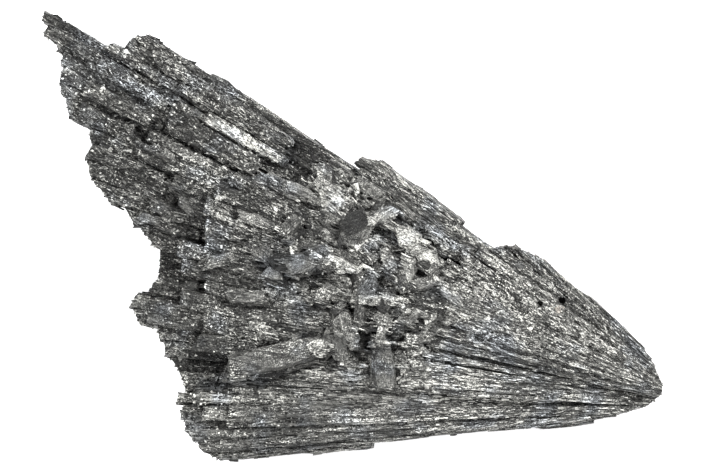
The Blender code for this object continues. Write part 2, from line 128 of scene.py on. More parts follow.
camera_data = bpy.data.cameras.new("camera")
camera_data.lens = LENS
camera_data.sensor_width = SENSOR
camera_data.clip_end = 20.0
camera = new_object("camera", camera_data)
camera_height = VIEW_WIDTH * LENS / SENSOR
camera.location = Vector((VIEW_CENTRE[0], VIEW_CENTRE[1], VIEW_CENTRE[2] + camera_height)) * MM
bpy.context.scene.camera = camera
print("the camera looks down from", round(camera_height), "mm")

# %% Floor
FLOOR_SIZE = 6.0
FLOOR_GLOW = 0.30  # a light table shines through the paper, so the fan throws almost no shadow


def as_mesh(shape, name):
    """Mesh data with the shape of a bmesh, which is then let go."""
    data = bpy.data.meshes.new(name)
    shape.to_mesh(data)
    shape.free()
    return data


floor_shape = bmesh.new()
bmesh.ops.create_grid(floor_shape, x_segments=1, y_segments=1, size=FLOOR_SIZE / 2)
floor = new_object("floor", as_mesh(floor_shape, "floor"))
floor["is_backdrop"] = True

paper = bpy.data.materials.new("white_paper")
paper.use_nodes = True
paper_shader = paper.node_tree.nodes["Principled BSDF"]
paper_shader.inputs["Base Color"].default_value = (0.92, 0.92, 0.92, 1.0)
paper_shader.inputs["Roughness"].default_value = 0.9
paper_shader.inputs["Emission Color"].default_value = (1.0, 1.0, 1.0, 1.0)
paper_shader.inputs["Emission Strength"].default_value = FLOOR_GLOW
floor.data.materials.append(paper)

# %% Lamps
scene = bpy.context.scene
scene.view_settings.view_transform = "Standard"
scene.world = bpy.data.worlds.new("soft_room")
scene.world.use_nodes = True
room = scene.world.node_tree.nodes["Background"]
room.inputs["Color"].default_value = (1.0, 1.0, 1.0, 1.0)
room.inputs["Strength"].default_value = 0.35
LAMP_SIZE = 0.25


def add_lamp(name, place, power):
    """A square soft lamp, aimed at the fan. The camera doesn't see it. Its place is in metres."""
    data = bpy.data.lights.new(name, "AREA")
    data.size = LAMP_SIZE
    data.energy = power
    lamp = new_object(name, data)
    lamp.location = place
    lamp.rotation_euler = (-Vector(place)).to_track_quat("-Z", "Y").to_euler()
    lamp.visible_camera = False


add_lamp("right_lamp", (0.40, 0.30, 0.55), 9.0)
add_lamp("left_lamp", (-0.50, 0.20, 0.50), 6.0)
add_lamp("front_lamp", (0.00, -0.60, 0.45), 5.0)

# %% [markdown]
# ## Feeling for the surface
#
# A BVH tree answers one question fast: where does a ray first meet this mesh? The body's mesh comes as loose
# triangles, so a copy of it is merged first. Later the laths are added to the list of trees, so that the
# fibres lie on whatever is on top.

# %% Ray casting
MERGE = 1e-6
merged = bmesh.new()
merged.from_mesh(body.data)
bmesh.ops.remove_doubles(merged, verts=merged.verts, dist=MERGE)
body_tree = BVHTree.FromBMesh(merged)
print("the body has", len(merged.verts), "corners once merged")
merged.free()
surface_trees = [body_tree]

DOWN = Vector((0.0, 0.0, -1.0))
ABOVE = 40.0
NOTHING = float("nan")


def cast(start, direction, trees, reach=120.0):
    """The distance in millimetres to the first hit, or nan."""
    nearest = NOTHING
    for tree in trees:
        distance = tree.ray_cast(Vector(start) * MM, direction, reach * MM)[3]
        if distance is not None and not distance / MM > nearest:
            nearest = distance / MM
    return nearest


def top_heights(points, trees):
    """The height of the surface at each (x, y), seen from above."""
    flat = points.reshape(-1, points.shape[-1])
    found = [ABOVE - cast((x, y, ABOVE), DOWN, trees) for x, y in flat[:, :2]]
    return np.array(found).reshape(points.shape[:-1])


# %% [markdown]
# Shade falls in the hollows between the blades, and the ridges catch more light. So the script also makes
# a map of the body's heights, blurs it, and takes the difference: above 0 in a hollow, below 0 on a ridge.
# No lath bridges a narrow groove. A hollow gets a painted shade, and a ridge a faint painted highlight.

# %% A map of the hollows
CELL = 0.15
HOLLOW_REACH = 5  # cells, to each side
map_x, map_y = (np.arange(cad_low[k] / MM - 1.0, cad_high[k] / MM + 1.0, CELL) for k in (0, 1))
heights_map = top_heights(np.stack(np.meshgrid(map_x, map_y), axis=-1), surface_trees)


def box_sum(grid, reach):
    """The sum over a square around every cell."""
    for _ in range(2):
        total = np.cumsum(np.pad(grid, ((reach + 1, reach), (0, 0))), axis=0)
        grid = (total[2 * reach + 1 :] - total[: -2 * reach - 1]).T
    return grid


def blurred(grid, reach):
    """The mean over a square around every cell, of the cells that have a surface."""
    here = ~np.isnan(grid)
    return box_sum(np.where(here, grid, 0.0), reach) / np.maximum(box_sum(here.astype(float), reach), 1.0)


hollows = np.nan_to_num(blurred(heights_map, HOLLOW_REACH) - heights_map)


def hollow_at(x, y):
    """How far the surface lies below its surroundings there, in millimetres."""
    column = np.clip(np.rint((x - map_x[0]) / CELL).astype(int), 0, len(map_x) - 1)
    row = np.clip(np.rint((y - map_y[0]) / CELL).astype(int), 0, len(map_y) - 1)
    return hollows[row, column]


print("the hollows reach", round(float(hollows.max()), 2), "mm below their surroundings")

# %% [markdown]
# ## One crystal, and how to have thousands
#
# A kyanite lath is a flat bar with six sides. One is made as a six-sided prism, cut into lengths by planes.
# An Array modifier repeats it as often as needed, and then one formula puts every corner where it belongs:
# each copy follows its own short path and has its own width, thickness, tilt and broken ends.
#
# Every corner also keeps two attributes for the materials. grain says how far it lies across, along and
# through its own crystal, in millimetres, so striations always run along the crystal whichever way that
# points. tone makes one crystal a little darker or lighter than the next, and also carries the painted
# light and shade of the place where it lies.

# %% The bar
def prism(sides, depth):
    """A closed prism of that depth, upright, with corners at 1 from its axis."""
    shape = bmesh.new()
    bmesh.ops.create_cone(shape, cap_ends=True, segments=sides, radius1=1.0, radius2=1.0, depth=depth)
    return shape


def bar_mesh(stations):
    """A closed bar, cut at even stations: x runs from 0 to 1 along it, y and z from -1 to 1 across."""
    bar = prism(6, 1.0)
    lay_down = Matrix.Rotation(math.radians(90), 4, "Y")
    bmesh.ops.transform(bar, matrix=Matrix.Translation((0.5, 0.0, 0.0)) @ lay_down, verts=bar.verts)
    for station in range(1, stations - 1):
        everything = bar.verts[:] + bar.edges[:] + bar.faces[:]
        cut = (station / (stations - 1), 0.0, 0.0)
        bmesh.ops.bisect_plane(bar, geom=everything, plane_co=cut, plane_no=(1, 0, 0))
    return as_mesh(bar, "bar")


def copies_of(data, count):
    """One mesh with that many copies of a mesh, by an Array modifier."""
    holder = new_object("copies", data)
    array = holder.modifiers.new("copies", "ARRAY")
    array.count = count
    array.use_relative_offset = False
    made = bpy.data.meshes.new_from_object(holder.evaluated_get(bpy.context.evaluated_depsgraph_get()))
    bpy.data.objects.remove(holder)
    return made


def corner_table(data):
    """The x, y and z of all corners of a mesh."""
    corners = np.empty(len(data.vertices) * 3)
    data.vertices.foreach_get("co", corners)
    return corners.reshape(-1, 3).T


# %% [markdown]
# A path is a row of points, one for each station of the bar, with a vector across the crystal and a vector
# up from it. The two vectors carry half the width and half the thickness. With whole arrays of paths, numpy
# works out the corners of all the copies at once.

# %% Growing many crystals along their paths
FLAT_SHARE = 0.62  # the flat top and bottom take this share of a crystal's width
END_SHARE = 0.75  # its ends are narrower than its middle
RAGGED = 0.10
END_SLANT = 0.35
GRAIN_SPREAD = (0.0, 200.0)  # each crystal starts somewhere else in the noise


def grow(name, material, paths, across, up, tones, seed):
    """Grows one crystal along each path. paths, across and up have the shape (crystals, stations, 3)."""
    chance = dice(seed)
    count, stations = paths.shape[:2]
    bar = bar_mesh(stations)
    where, side, height = corner_table(bar)
    data = copies_of(bar, count)
    station = np.rint(where * (stations - 1)).astype(int)
    at_end = (station == 0) | (station == stations - 1)
    narrow = np.where(at_end, END_SHARE, 1.0)
    side = unbroken = np.where(np.abs(height) > 0.1, np.sign(side) * FLAT_SHARE, side)
    height = np.sign(np.round(height, 3))
    wander = chance.normal(0.0, RAGGED, (2, count, len(where)))
    side, height = (v * narrow * (1.0 + w) for v, w in zip((side, height), wander))
    corners = paths[:, station] + across[:, station] * side[..., None] + up[:, station] * height[..., None]
    step = np.linalg.norm(np.diff(paths, axis=1), axis=-1)
    travelled = np.concatenate([np.zeros((count, 1)), np.cumsum(step, axis=1)], axis=1)
    wide, thick = (np.linalg.norm(v, axis=-1) for v in (across, up))
    slant = chance.normal(0.0, END_SLANT, (count, 2, 1)) * wide[:, [0, -1], None]
    forward = paths[:, -1] - paths[:, 0]
    forward /= np.maximum(np.linalg.norm(forward, axis=-1, keepdims=True), 1e-9)
    for end, which in ((0, station == 0), (1, station == stations - 1)):
        push = slant[:, end] * unbroken[which]
        corners[:, which] += forward[:, None] * push[..., None]
    grain = np.stack([side * wide[:, station], travelled[:, station], height * thick[:, station]], axis=-1)
    grain += chance.uniform(*GRAIN_SPREAD, (count, 1, 3))
    return finish_crystals(name, material, data, corners, grain, tones)


def finish_crystals(name, material, data, corners, grain, tones):
    """Puts the corners and attributes into the mesh and makes it a piece that rides on the fan."""
    data.vertices.foreach_set("co", (corners * MM).ravel())
    data.attributes.new("grain", "FLOAT_VECTOR", "POINT").data.foreach_set("vector", grain.ravel())
    tones = np.repeat(tones, corners.shape[1])
    data.attributes.new("tone", "FLOAT", "POINT").data.foreach_set("value", tones)
    data.update()
    data.name = name
    piece = new_object(name, data)
    piece.data.materials.append(material)
    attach(piece, "root")
    print(name, "has", len(corners), "crystals and", len(data.loops) - 2 * len(data.polygons), "triangles")
    return piece


# %% [markdown]
# ## The mineral
#
# Black kyanite is dark because it is full of fine graphite, and it shines because its flat faces split like
# mica. So the material is a dark, fairly glossy surface whose colour, gloss and height all follow the same
# striations: noise that is stretched along the crystal. A second, finer noise adds the sugary grains. Much
# of the shine is painted: the pale parts of these striations and grains are painted glints in the colour,
# over the mineral's own grain, and the real gloss is kept low.

# %% Helpers for materials
def add_node(tree, kind, values, **settings):
    """A node with a number or a link for each of the named inputs."""
    node = tree.nodes.new(kind)
    for name, value in settings.items():
        setattr(node, name, value)
    for name, value in values.items():
        if isinstance(value, bpy.types.NodeSocket):
            tree.links.new(value, node.inputs[name])
        else:
            node.inputs[name].default_value = value
    return node


def attribute(tree, name, output):
    return add_node(tree, "ShaderNodeAttribute", {}, attribute_name=name).outputs[output]


def maths(tree, operation, *values):
    return add_node(tree, "ShaderNodeMath", dict(enumerate(values)), operation=operation).outputs[0]


def vector_maths(tree, operation, *values, output="Vector"):
    node = add_node(tree, "ShaderNodeVectorMath", dict(enumerate(values)), operation=operation)
    return node.outputs[output]


def between(tree, value, low, high, to_low, to_high):
    """Carries a value from one range to another, and stops at its ends."""
    values = {"Value": value, "From Min": low, "From Max": high, "To Min": to_low, "To Max": to_high}
    return add_node(tree, "ShaderNodeMapRange", values).outputs["Result"]


def noise(tree, vector, scale, detail=2.0, roughness=0.6):
    """Noise with its own scale along each axis of the vector."""
    stretched = vector_maths(tree, "MULTIPLY", vector, scale)
    values = {"Vector": stretched, "Scale": 1.0, "Detail": detail, "Roughness": roughness}
    return add_node(tree, "ShaderNodeTexNoise", values).outputs["Fac"]


def mix(tree, kind, factor, first, second):
    """Blends two colours."""
    values = {0: factor, 6: first, 7: second}
    return add_node(tree, "ShaderNodeMix", values, data_type="RGBA", blend_type=kind).outputs[2]


def bump(tree, height, distance, **below):
    values = {"Strength": 1.0, "Distance": distance, "Height": height, **below}
    return add_node(tree, "ShaderNodeBump", values).outputs["Normal"]


# %% The body's own grain
BODY_GRAIN = (60.0, 1000.0, 1000.0)  # per radian and per metre


def fan_grain(tree, place):
    """The grain of the body itself: across, along and up, in millimetres, around the fan's focus."""
    shifted = vector_maths(tree, "SUBTRACT", place, (FOCUS[0] * MM, FOCUS[1] * MM, 0.0))
    split = add_node(tree, "ShaderNodeSeparateXYZ", {0: shifted}).outputs
    turn = maths(tree, "ARCTAN2", split["Y"], split["X"])
    flat = vector_maths(tree, "MULTIPLY", shifted, (1.0, 1.0, 0.0))
    far = vector_maths(tree, "LENGTH", flat, output="Value")
    joined = add_node(tree, "ShaderNodeCombineXYZ", {"X": turn, "Y": far, "Z": split["Z"]}).outputs[0]
    return vector_maths(tree, "MULTIPLY", joined, BODY_GRAIN)


# %% Kyanite in numbers
# the pale parts of the striations and grains are painted glints as well as the mineral's own grain
CONTRAST = 28.0  # how strongly the striations and grains change the shade, on a logarithmic scale
TONE_CONTRAST = 1.1
BAND_CONTRAST = 4.0
BANDS = (0.50, 0.09, 0.30)  # noise cells per millimetre for whole bundles, around the focus
CALM = (0.28, 0.12, 0.25)  # and for the places that are smooth or rough
CALM_RANGE = (0.62, 1.22)
CALM_NOISE = (0.38, 0.62)  # noise seldom leaves such a range around 0.5, so its ends are stretched to it
PATCHES = (160.0, 160.0, 160.0)  # cells per metre of the cool patches
PATCH_NOISE = (0.52, 0.68)
CRACKS = (0.9, 0.10, 0.9)
CRACK_WIDTH = 0.035
CRACK_SHADE = 1.6
BRIGHTEST = 0.75
SHEEN = 1.33  # the IOR, kept low: much of the shine is painted glints in the pale grains
ROUGHNESS = (0.60, 0.30)  # of the dark grains and of the pale ones
GRAIN_NOISE = (0.35, 0.65)
GRAIN_HEIGHT = 0.00012
LINE_HEIGHT = 0.00020
SUGAR = (5.8, 4.2, 5.8)
WARM = (1.0, 0.995, 0.93, 1.0)
COOL = (0.95, 1.0, 1.04, 1.0)
CLAY = (1.0, 0.92, 0.82, 1.0)

# %% Kyanite
def kyanite(name, shade, stria, line_share=0.5, contrast=1.0, tones=1.0, tint=WARM, own_grain=True):
    """Dark striated mineral with painted glints. shade is its usual grey; grains, striations and bands
    multiply it.
    """
    material = bpy.data.materials.new(name)
    material.use_nodes = True
    tree = material.node_tree
    shader = tree.nodes["Principled BSDF"]
    place = add_node(tree, "ShaderNodeTexCoord", {}).outputs["Object"]
    around = fan_grain(tree, place)
    crystal = attribute(tree, "grain", "Vector") if own_grain else around
    lines = noise(tree, crystal, stria, detail=3.0)
    grains = noise(tree, crystal, SUGAR, roughness=0.75)
    bands = noise(tree, around, BANDS, detail=3.0, roughness=0.55)
    weak, strong = (CONTRAST * contrast * end for end in CALM_RANGE)
    calm = between(tree, noise(tree, around, CALM), *CALM_NOISE, weak, strong)
    patches = noise(tree, place, PATCHES)
    away = maths(tree, "ABSOLUTE", maths(tree, "SUBTRACT", noise(tree, around, CRACKS, detail=1.0), 0.5))
    crack = between(tree, away, 0.0, CRACK_WIDTH, CRACK_SHADE, 0.0)
    texture = maths(tree, "MULTIPLY_ADD", grains, 1.0 - line_share, -0.5)
    texture = maths(tree, "MULTIPLY_ADD", lines, line_share, texture)
    band = BAND_CONTRAST * contrast
    middle = 0.5 * (band + TONE_CONTRAST * tones * own_grain)
    power = maths(tree, "MULTIPLY_ADD", bands, band, math.log(shade) - middle)
    power = maths(tree, "MULTIPLY_ADD", texture, calm, power)
    power = maths(tree, "SUBTRACT", power, crack)
    if own_grain:
        power = maths(tree, "MULTIPLY_ADD", attribute(tree, "tone", "Fac"), TONE_CONTRAST * tones, power)
    grey = maths(tree, "MINIMUM", maths(tree, "EXPONENT", power), BRIGHTEST)
    tint = mix(tree, "MIX", between(tree, patches, *PATCH_NOISE, 0.0, 1.0), tint, COOL)
    tree.links.new(mix(tree, "MULTIPLY", 1.0, tint, grey), shader.inputs["Base Color"])
    tree.links.new(between(tree, grains, *GRAIN_NOISE, *ROUGHNESS), shader.inputs["Roughness"])
    shader.inputs["IOR"].default_value = SHEEN
    fine = bump(tree, grains, GRAIN_HEIGHT)
    tree.links.new(bump(tree, lines, LINE_HEIGHT, Normal=fine), shader.inputs["Normal"])
    return material


# %% The finishes
FINE_LINES = (5.6, 0.8, 5.6)  # noise cells per millimetre across, along and through a crystal
SPOKE_LINES = (5.0, 0.7, 5.0)
ROOT_LINES = (4.6, 1.7, 4.6)
WING_LINES = (5.4, 0.9, 5.4)
FLAKE_LINES = (4.6, 1.1, 4.6)
FINISHES = (  # a name, the usual grey, the striations and their share, the contrast, and the spread of tones
    ("root", 0.076, ROOT_LINES, 0.45, 1.0, 1.0),
    ("spoke", 0.085, SPOKE_LINES, 0.6, 0.9, 1.0),
    ("middle", 0.114, SPOKE_LINES, 0.65, 0.75, 0.9),
    ("lower", 0.112, FINE_LINES, 0.6, 0.52, 0.5),
    ("wing", 0.038, WING_LINES, 0.66, 1.0, 0.9),
    ("shelf", 0.053, ROOT_LINES, 0.45, 0.85, 1.0),
    ("flake", 0.080, FLAKE_LINES, 0.4, 0.5, 1.0),
    ("facet", 0.085, FLAKE_LINES, 0.35, 0.48, 1.0),
)
finish = {name: kyanite(f"{name}_kyanite", *values) for name, *values in FINISHES}
# the body shows mostly in the gaps between the laths; its grey is darker than theirs, partly as painted
# shade
finish["body"] = kyanite("body_kyanite", 0.030, FINE_LINES, own_grain=False)
finish["clay"] = kyanite("clay_on_kyanite", 0.34, FLAKE_LINES, contrast=0.35, tint=CLAY)
print("the finishes are", ", ".join(finish))
body.data.materials.clear()
body.data.materials.append(finish["body"])

# %% [markdown]
# ## The crystals that lie across
#
# In the middle, short crystals grew over and across the blades. Each one is a rough packet that split along
# its flat faces, so it is grown as a few layers, one on another. They come first, because the laths that
# follow the rays have to stop at them.

# %% Where the crossing crystals lie
CROSSING = (  # x, y and z of the middle, length, width, thickness, the turns about Z, Y and X, and the tone
    (-10.8, -17.9, 14.4, 15.6, 4.4, 3.0, 13, 3, -10, 0.0),
    (-4.6, -16.2, 15.3, 3.8, 3.0, 2.4, 62, 12, 10, 1.0),
    (-1.6, -16.4, 15.2, 4.4, 3.0, 2.6, 104, -10, -14, 0.4),
    (-1.2, -13.6, 16.2, 6.0, 2.2, 2.4, 112, 8, 16, 0.7),
    (1.2, -10.8, 17.4, 5.2, 2.0, 2.2, 84, -12, -12, 0.1),
    (4.3, -19.0, 15.4, 7.2, 3.9, 2.6, 96, -6, 5, 0.55),
    (4.3, -13.6, 17.8, 5.4, 1.5, 1.8, 78, 8, -8, 0.9),
    (11.4, -3.6, 18.3, 4.0, 3.2, 2.6, -62, 14, 10, 1.2),
    (8.0, -4.6, 18.4, 4.6, 3.2, 2.6, 66, -10, -16, 1.1),
    (8.4, -0.6, 18.2, 4.2, 3.0, 2.4, -20, 10, 12, 1.2),
    (5.4, -3.6, 18.4, 4.4, 2.6, 2.6, 108, 12, -12, 1.2),
    (0.6, 1.0, 17.6, 5.2, 4.2, 2.6, 58, -14, 10, 0.3),
    (10.6, -7.0, 18.1, 4.2, 2.6, 2.2, 20, -10, -12, 0.2),
    (-2.4, -3.4, 18.2, 7.6, 2.6, 2.6, -26, 6, 10, 1.1),
    (-8.0, -4.2, 17.5, 5.2, 3.6, 2.4, 22, -8, -12, 0.7),
    (4.4, -9.2, 18.2, 8.0, 1.8, 2.2, -10, 4, 12, 0.9),
    (-14.2, 8.4, 15.9, 2.2, 1.8, 2.4, 40, 8, 10, 0.2),
    (-11.8, -5.4, 16.9, 3.0, 2.4, 2.2, -12, -10, 14, 0.2),
    (-4.6, -8.4, 17.2, 3.2, 2.0, 2.2, 24, 12, -10, 0.9),
    (4.6, 3.0, 17.7, 3.4, 2.4, 2.4, 35, 10, 12, 1.2),
    (-24.4, -7.8, 9.6, 2.6, 2.2, 3.0, 20, 0, 0, 0.1),
    (9.0, -11.6, 17.4, 4.4, 2.2, 2.2, 46, 8, -12, 0.5),
    (1.8, -6.6, 18.2, 4.2, 2.8, 2.6, 70, -12, 12, 0.2),
    (-19.4, -3.2, 14.2, 6.2, 2.0, 2.4, 14, 6, 14, 0.4),
    (-15.8, -9.0, 14.6, 6.0, 2.4, 2.2, -6, -6, -12, 0.3),
    (-13.6, -2.4, 16.2, 5.4, 2.6, 2.4, -44, 6, 12, 0.2),
    (-8.0, 6.4, 17.2, 5.0, 2.2, 2.2, -18, 8, -12, 0.9),
    (-4.0, 9.2, 14.6, 4.2, 2.6, 2.2, -52, -6, 12, 0.8),
    (2.2, 7.2, 14.9, 4.8, 2.2, 2.2, -28, 8, 10, 0.5),
    (14.4, -8.6, 17.7, 4.4, 2.4, 2.2, -36, 6, -10, 0.5),
    (9.8, -15.2, 15.6, 4.6, 1.8, 2.0, 6, 6, -10, 0.9),
    (-24.4, 4.6, 12.2, 4.0, 2.2, 2.2, -34, 8, 10, 0.3),
    (-30.4, 2.6, 9.3, 3.8, 1.8, 2.2, -14, -4, 8, 0.3),
    (-28.4, 12.2, 12.0, 4.2, 1.6, 2.0, -30, 6, -10, 0.4),
    (-14.2, 2.4, 16.4, 5.4, 1.8, 2.2, -20, 8, 10, 0.8),
    (-9.0, 1.4, 17.4, 4.0, 2.6, 2.2, 40, 8, -12, 0.2),
)


# %% [markdown]
# A slab with a broken outline is the second shape that repeats. It starts as a prism with a few corners, and
# chance pulls each corner in or out. Chips, plates and grains are made from it too.

# %% The slab
CROSSING_TAPER = 0.75
TOP_SHARE = (0.80, 1.0)  # its top is a little smaller than its bottom
UNEVEN = 0.14


def turned(yaw, pitch, roll):
    """The three axes of a crystal after its turns about X, Y and Z."""
    turn = Euler([math.radians(a) for a in (roll, pitch, yaw)], "XYZ").to_matrix()
    return np.array(turn).T


def grow_flakes(
    name, material, centres, axes, halves, tones, seed, sides=5, square=1.0, ragged=(0.6, 1.15), slants=None
):
    """Slabs with broken outlines. axes holds each one's directions along, across and up.

    A square under 1 pulls the round outline towards a rectangle. Slants cut both ends at an angle.
    """
    chance = dice(seed)
    count = len(centres)
    flake = as_mesh(prism(sides, 2.0), "flake")
    x, y, z = corner_table(flake)
    data = copies_of(flake, count)
    corner = np.round(np.arctan2(y, x) / (2 * np.pi / sides)).astype(int) % sides
    broken = chance.uniform(*ragged, (count, sides))[:, corner]
    shrunk = np.where(z > 0, chance.uniform(*TOP_SHARE, (count, 1)), 1.0)
    flat = np.stack([np.sign(v) * np.abs(v) ** square * broken * shrunk for v in (x, y)], axis=-1)
    tall = z + chance.normal(0.0, UNEVEN, broken.shape)
    local = np.concatenate([flat, tall[..., None]], axis=-1) * halves[:, None]
    if slants is not None:
        local[..., 1] *= 1.0 - (1.0 - CROSSING_TAPER) * (x + 1.0) / 2.0
        local[..., 0] += local[..., 1] * np.where(x < 0, slants[:, :1], -slants[:, 1:])
    corners = centres[:, None] + np.einsum("kvc,kcd->kvd", local, axes)
    grain = local[..., [1, 0, 2]] + chance.uniform(*GRAIN_SPREAD, (count, 1, 3))
    return finish_crystals(name, material, data, corners, grain, tones)


# %% Splitting each crossing crystal into layers
CROSSING_SLANTS = ((0.2, -0.3), (-0.5, 0.8), (0.7, 0.4), (0.9, -0.3), (-0.8, 0.5))  # of both ends, in turn
LAYER_DEPTH = 0.75
LAYER_TURN = 4.0  # degrees
LAYER_RISE = 0.12
LAYER_OVERLAP = 0.62  # half of it would leave no overlap
SLIP = 0.08  # of the length and the width
LARGEST_SLIP = 0.4
LOWEST_SHARE = 1.10  # the lowest layer is a little larger than the crystal, and the others shrink
SHRINK = 0.12


def layers(crossing, chance):
    """The split layers of one crossing crystal, from the lowest: centre, axes, half sizes and tone."""
    x, y, z, length, width, thick, yaw, pitch, roll, tone = crossing
    number = round(thick / LAYER_DEPTH)
    for level in range(number):
        stray = chance.normal(0.0, LAYER_TURN, 3)
        axes = turned(yaw + stray[0], pitch + stray[1], roll + stray[2])
        depth = thick / number
        rise = (level + 0.5) * depth - thick / 2 + chance.uniform(0.0, LAYER_RISE)
        slip = min(length * SLIP, LARGEST_SLIP)
        shift = axes[0] * chance.uniform(-slip, slip) + axes[1] * chance.uniform(-SLIP, SLIP) * width
        share = LOWEST_SHARE - SHRINK * level / number
        halves = (length / 2 * share, width / 2 * share, depth * LAYER_OVERLAP)
        yield np.array((x, y, z)) + axes[2] * rise + shift, axes, halves, tone + chance.uniform(-0.3, 0.3)


chance = dice(5)
made = [
    (*layer, slants)
    for crossing, slants in zip(CROSSING, cycle(CROSSING_SLANTS))
    for layer in layers(crossing, chance)
]
*placed, slants = columns(made)
crossing_piece = grow_flakes(
    "crossing_crystals", finish["facet"], *placed, 6, sides=6, square=0.5, ragged=(0.80, 1.16), slants=slants
)


# %% Places that stay free
PITS = ((143.2, 27.0, 0.72), (147.8, 29.5, 0.60))  # the azimuth, the radius and half the width


def in_pit(x, y, margin=0.0):
    """True over the two small pits of the root half, which stay open."""
    open_here = np.zeros(np.shape(x), bool)
    for azimuth, radius, half in PITS:
        middle = fan_point(azimuth, radius)
        open_here |= np.hypot(x - middle[0], y - middle[1]) < half + margin
    return open_here


def crossed(x, y, margin=0.2):
    """True where a crossing crystal covers the blades."""
    covered = np.zeros(np.shape(x), bool)
    for cx, cy, _, length, width, _, yaw, *_ in CROSSING:
        turn = math.radians(yaw)
        along = (x - cx) * math.cos(turn) + (y - cy) * math.sin(turn)
        aside = (y - cy) * math.cos(turn) - (x - cx) * math.sin(turn)
        covered |= (np.abs(along) < length / 2 - margin) & (np.abs(aside) < width / 2 - margin)
    return covered


# %% [markdown]
# ## Painted light and shade
#
# Whole parts of the fan are paler or darker than others. Most of these patches are painted light and shade:
# pale where blades face the lamps, dark in recesses, hollows and gaps. Some are the fan's own tone.
# A list of soft patches says where, and each crystal takes its tone from the patches that it lies in.

# %% Where the fan is painted light and dark, and where its own tone changes
# pale patches are mostly painted light, dark ones painted shade in recesses and gaps; a few are own tone
PAINTED_LIGHT_AND_TONE_PATCHES = (  # the azimuth and radius of the middle, half the spread of both, and the change of tone
    ("bright blade", 149.8, 79.5, 0.55, 7.2, 1.7),
    ("pale chip", 148.2, 77.0, 0.5, 1.4, 1.2),
    ("pale ledge", 149.8, 65.0, 2.4, 3.0, 1.1),
    ("recess", 147.7, 70.4, 1.9, 4.4, -1.6),
    ("bright streak", 158.4, 76.8, 0.5, 3.9, 1.2),
    ("bright middle blade", 158.2, 59.8, 0.9, 3.6, 1.3),
    ("white streak", 174.4, 54.6, 0.8, 5.6, 1.2),
    ("white chips", 174.2, 38.5, 2.7, 8.2, 0.7),
    ("pale lower end", 178.6, 73.6, 0.9, 3.6, 1.6),
    ("dark face", 152.2, 59.5, 2.0, 1.9, -0.5),
    ("root groove", 163.2, 21.0, 1.1, 5.0, -0.9),
    ("root groove, lower", 173.2, 13.0, 1.4, 3.0, -0.8),
    ("root groove, middle", 170.4, 19.0, 1.0, 4.0, -0.9),
    ("root groove, upper", 168.3, 28.0, 0.7, 6.0, -0.9),
    ("crack", 169.9, 37.0, 0.25, 7.0, -1.6),
    ("cap groove", 143.8, 34.0, 0.4, 3.0, -1.2),
    ("short cap groove", 148.5, 38.0, 0.4, 2.4, -1.0),
    ("shoulder", 152.0, 30.0, 8.0, 13.0, 0.5),
    ("shelf", 169.5, 75.0, 6.5, 12.0, -0.1),
    ("dull shelf", 170.4, 73.0, 2.0, 3.2, -0.7),
    ("dull lower edge", 183.0, 57.0, 3.2, 16.0, -0.9),
    ("strip under the oblique crystal", 176.6, 64.0, 1.3, 6.0, -0.45),
    ("wing tips", 156.8, 96.0, 2.9, 7.0, -0.9),
    ("wing point", 149.4, 109.5, 1.6, 4.5, -0.7),
    ("lit wing blade", 153.5, 80.5, 1.1, 5.5, 0.7),
    ("inner wing", 152.4, 76.0, 4.0, 10.0, 0.15),
    ("lit step", 178.1, 39.0, 1.1, 19.0, 1.2),
    ("pale chips", 151.0, 54.0, 3.0, 4.6, 0.9),
    ("pale slope", 148.4, 59.5, 1.2, 3.5, 0.7),
    ("dull wing blade", 151.0, 95.0, 1.0, 4.0, -0.6),
    ("gap", 162.0, 63.5, 1.2, 2.4, -0.4),
    ("hollow", 174.6, 74.8, 2.4, 3.2, -1.1),
    ("small hollow", 175.2, 64.0, 0.9, 3.2, -1.0),
    ("layer hollow", 164.4, 83.5, 1.1, 1.8, -1.3),
    ("dark edge", 146.2, 86.0, 0.8, 16.0, -0.7),
    ("blunt end", 143.8, 61.8, 1.5, 1.8, -0.8),
    ("root flank", 159.0, 44.0, 4.5, 2.6, -0.5),
    ("cap edge", 139.4, 31.0, 1.4, 7.0, -0.5),
)

# painted shade in the dark cracks between blades
PAINTED_SHADE_IN_CRACKS = (  # the azimuth and radius of the middle, half the length, and the change of tone
    (176.2, 30.0, 9.0, -1.2),
    (144.9, 54.0, 5.0, -1.4),
    (153.3, 79.0, 4.0, -1.6),
    (154.1, 66.0, 3.5, -1.3),
    (156.9, 31.0, 4.5, -1.3),
    (168.8, 65.0, 3.5, -1.3),
    (156.5, 72.0, 5.0, -1.0),
    (159.0, 78.0, 5.0, -1.1),
    (177.2, 70.5, 4.5, -1.3),
    (173.8, 55.0, 4.5, -1.0),
    (149.1, 36.5, 4.5, -1.0),
)
PAINTED_HIGHLIGHT_BLADES = (  # the same for the painted highlights of single blades that catch the light
    (176.9, 28.0, 9.0, 1.7),
    (169.5, 40.0, 4.5, 0.8),
    (169.4, 66.5, 4.0, 1.4),
    (165.5, 38.5, 3.5, 1.2),
    (162.8, 36.0, 3.0, 1.1),
    (166.2, 43.0, 3.5, 0.9),
    (182.9, 48.0, 7.0, 1.4),
    (155.6, 92.0, 5.0, 1.1),
    (179.2, 65.5, 5.5, 1.0),
    (165.3, 70.0, 4.0, 0.8),
    (161.1, 50.0, 3.0, 0.8),
)
BLADE_HALF_WIDTH = 0.32
# painted shade in the hollows, and a faint painted highlight on the ridges
PAINTED_HOLLOW_SHADE = 1.1
HOLLOW_RANGE = (-0.15, 0.7)
CONTACT_SHADOW_WIDTH = 0.45  # around each crossing crystal runs a painted contact shadow, this wide
PAINTED_CONTACT_SHADOW = 0.9


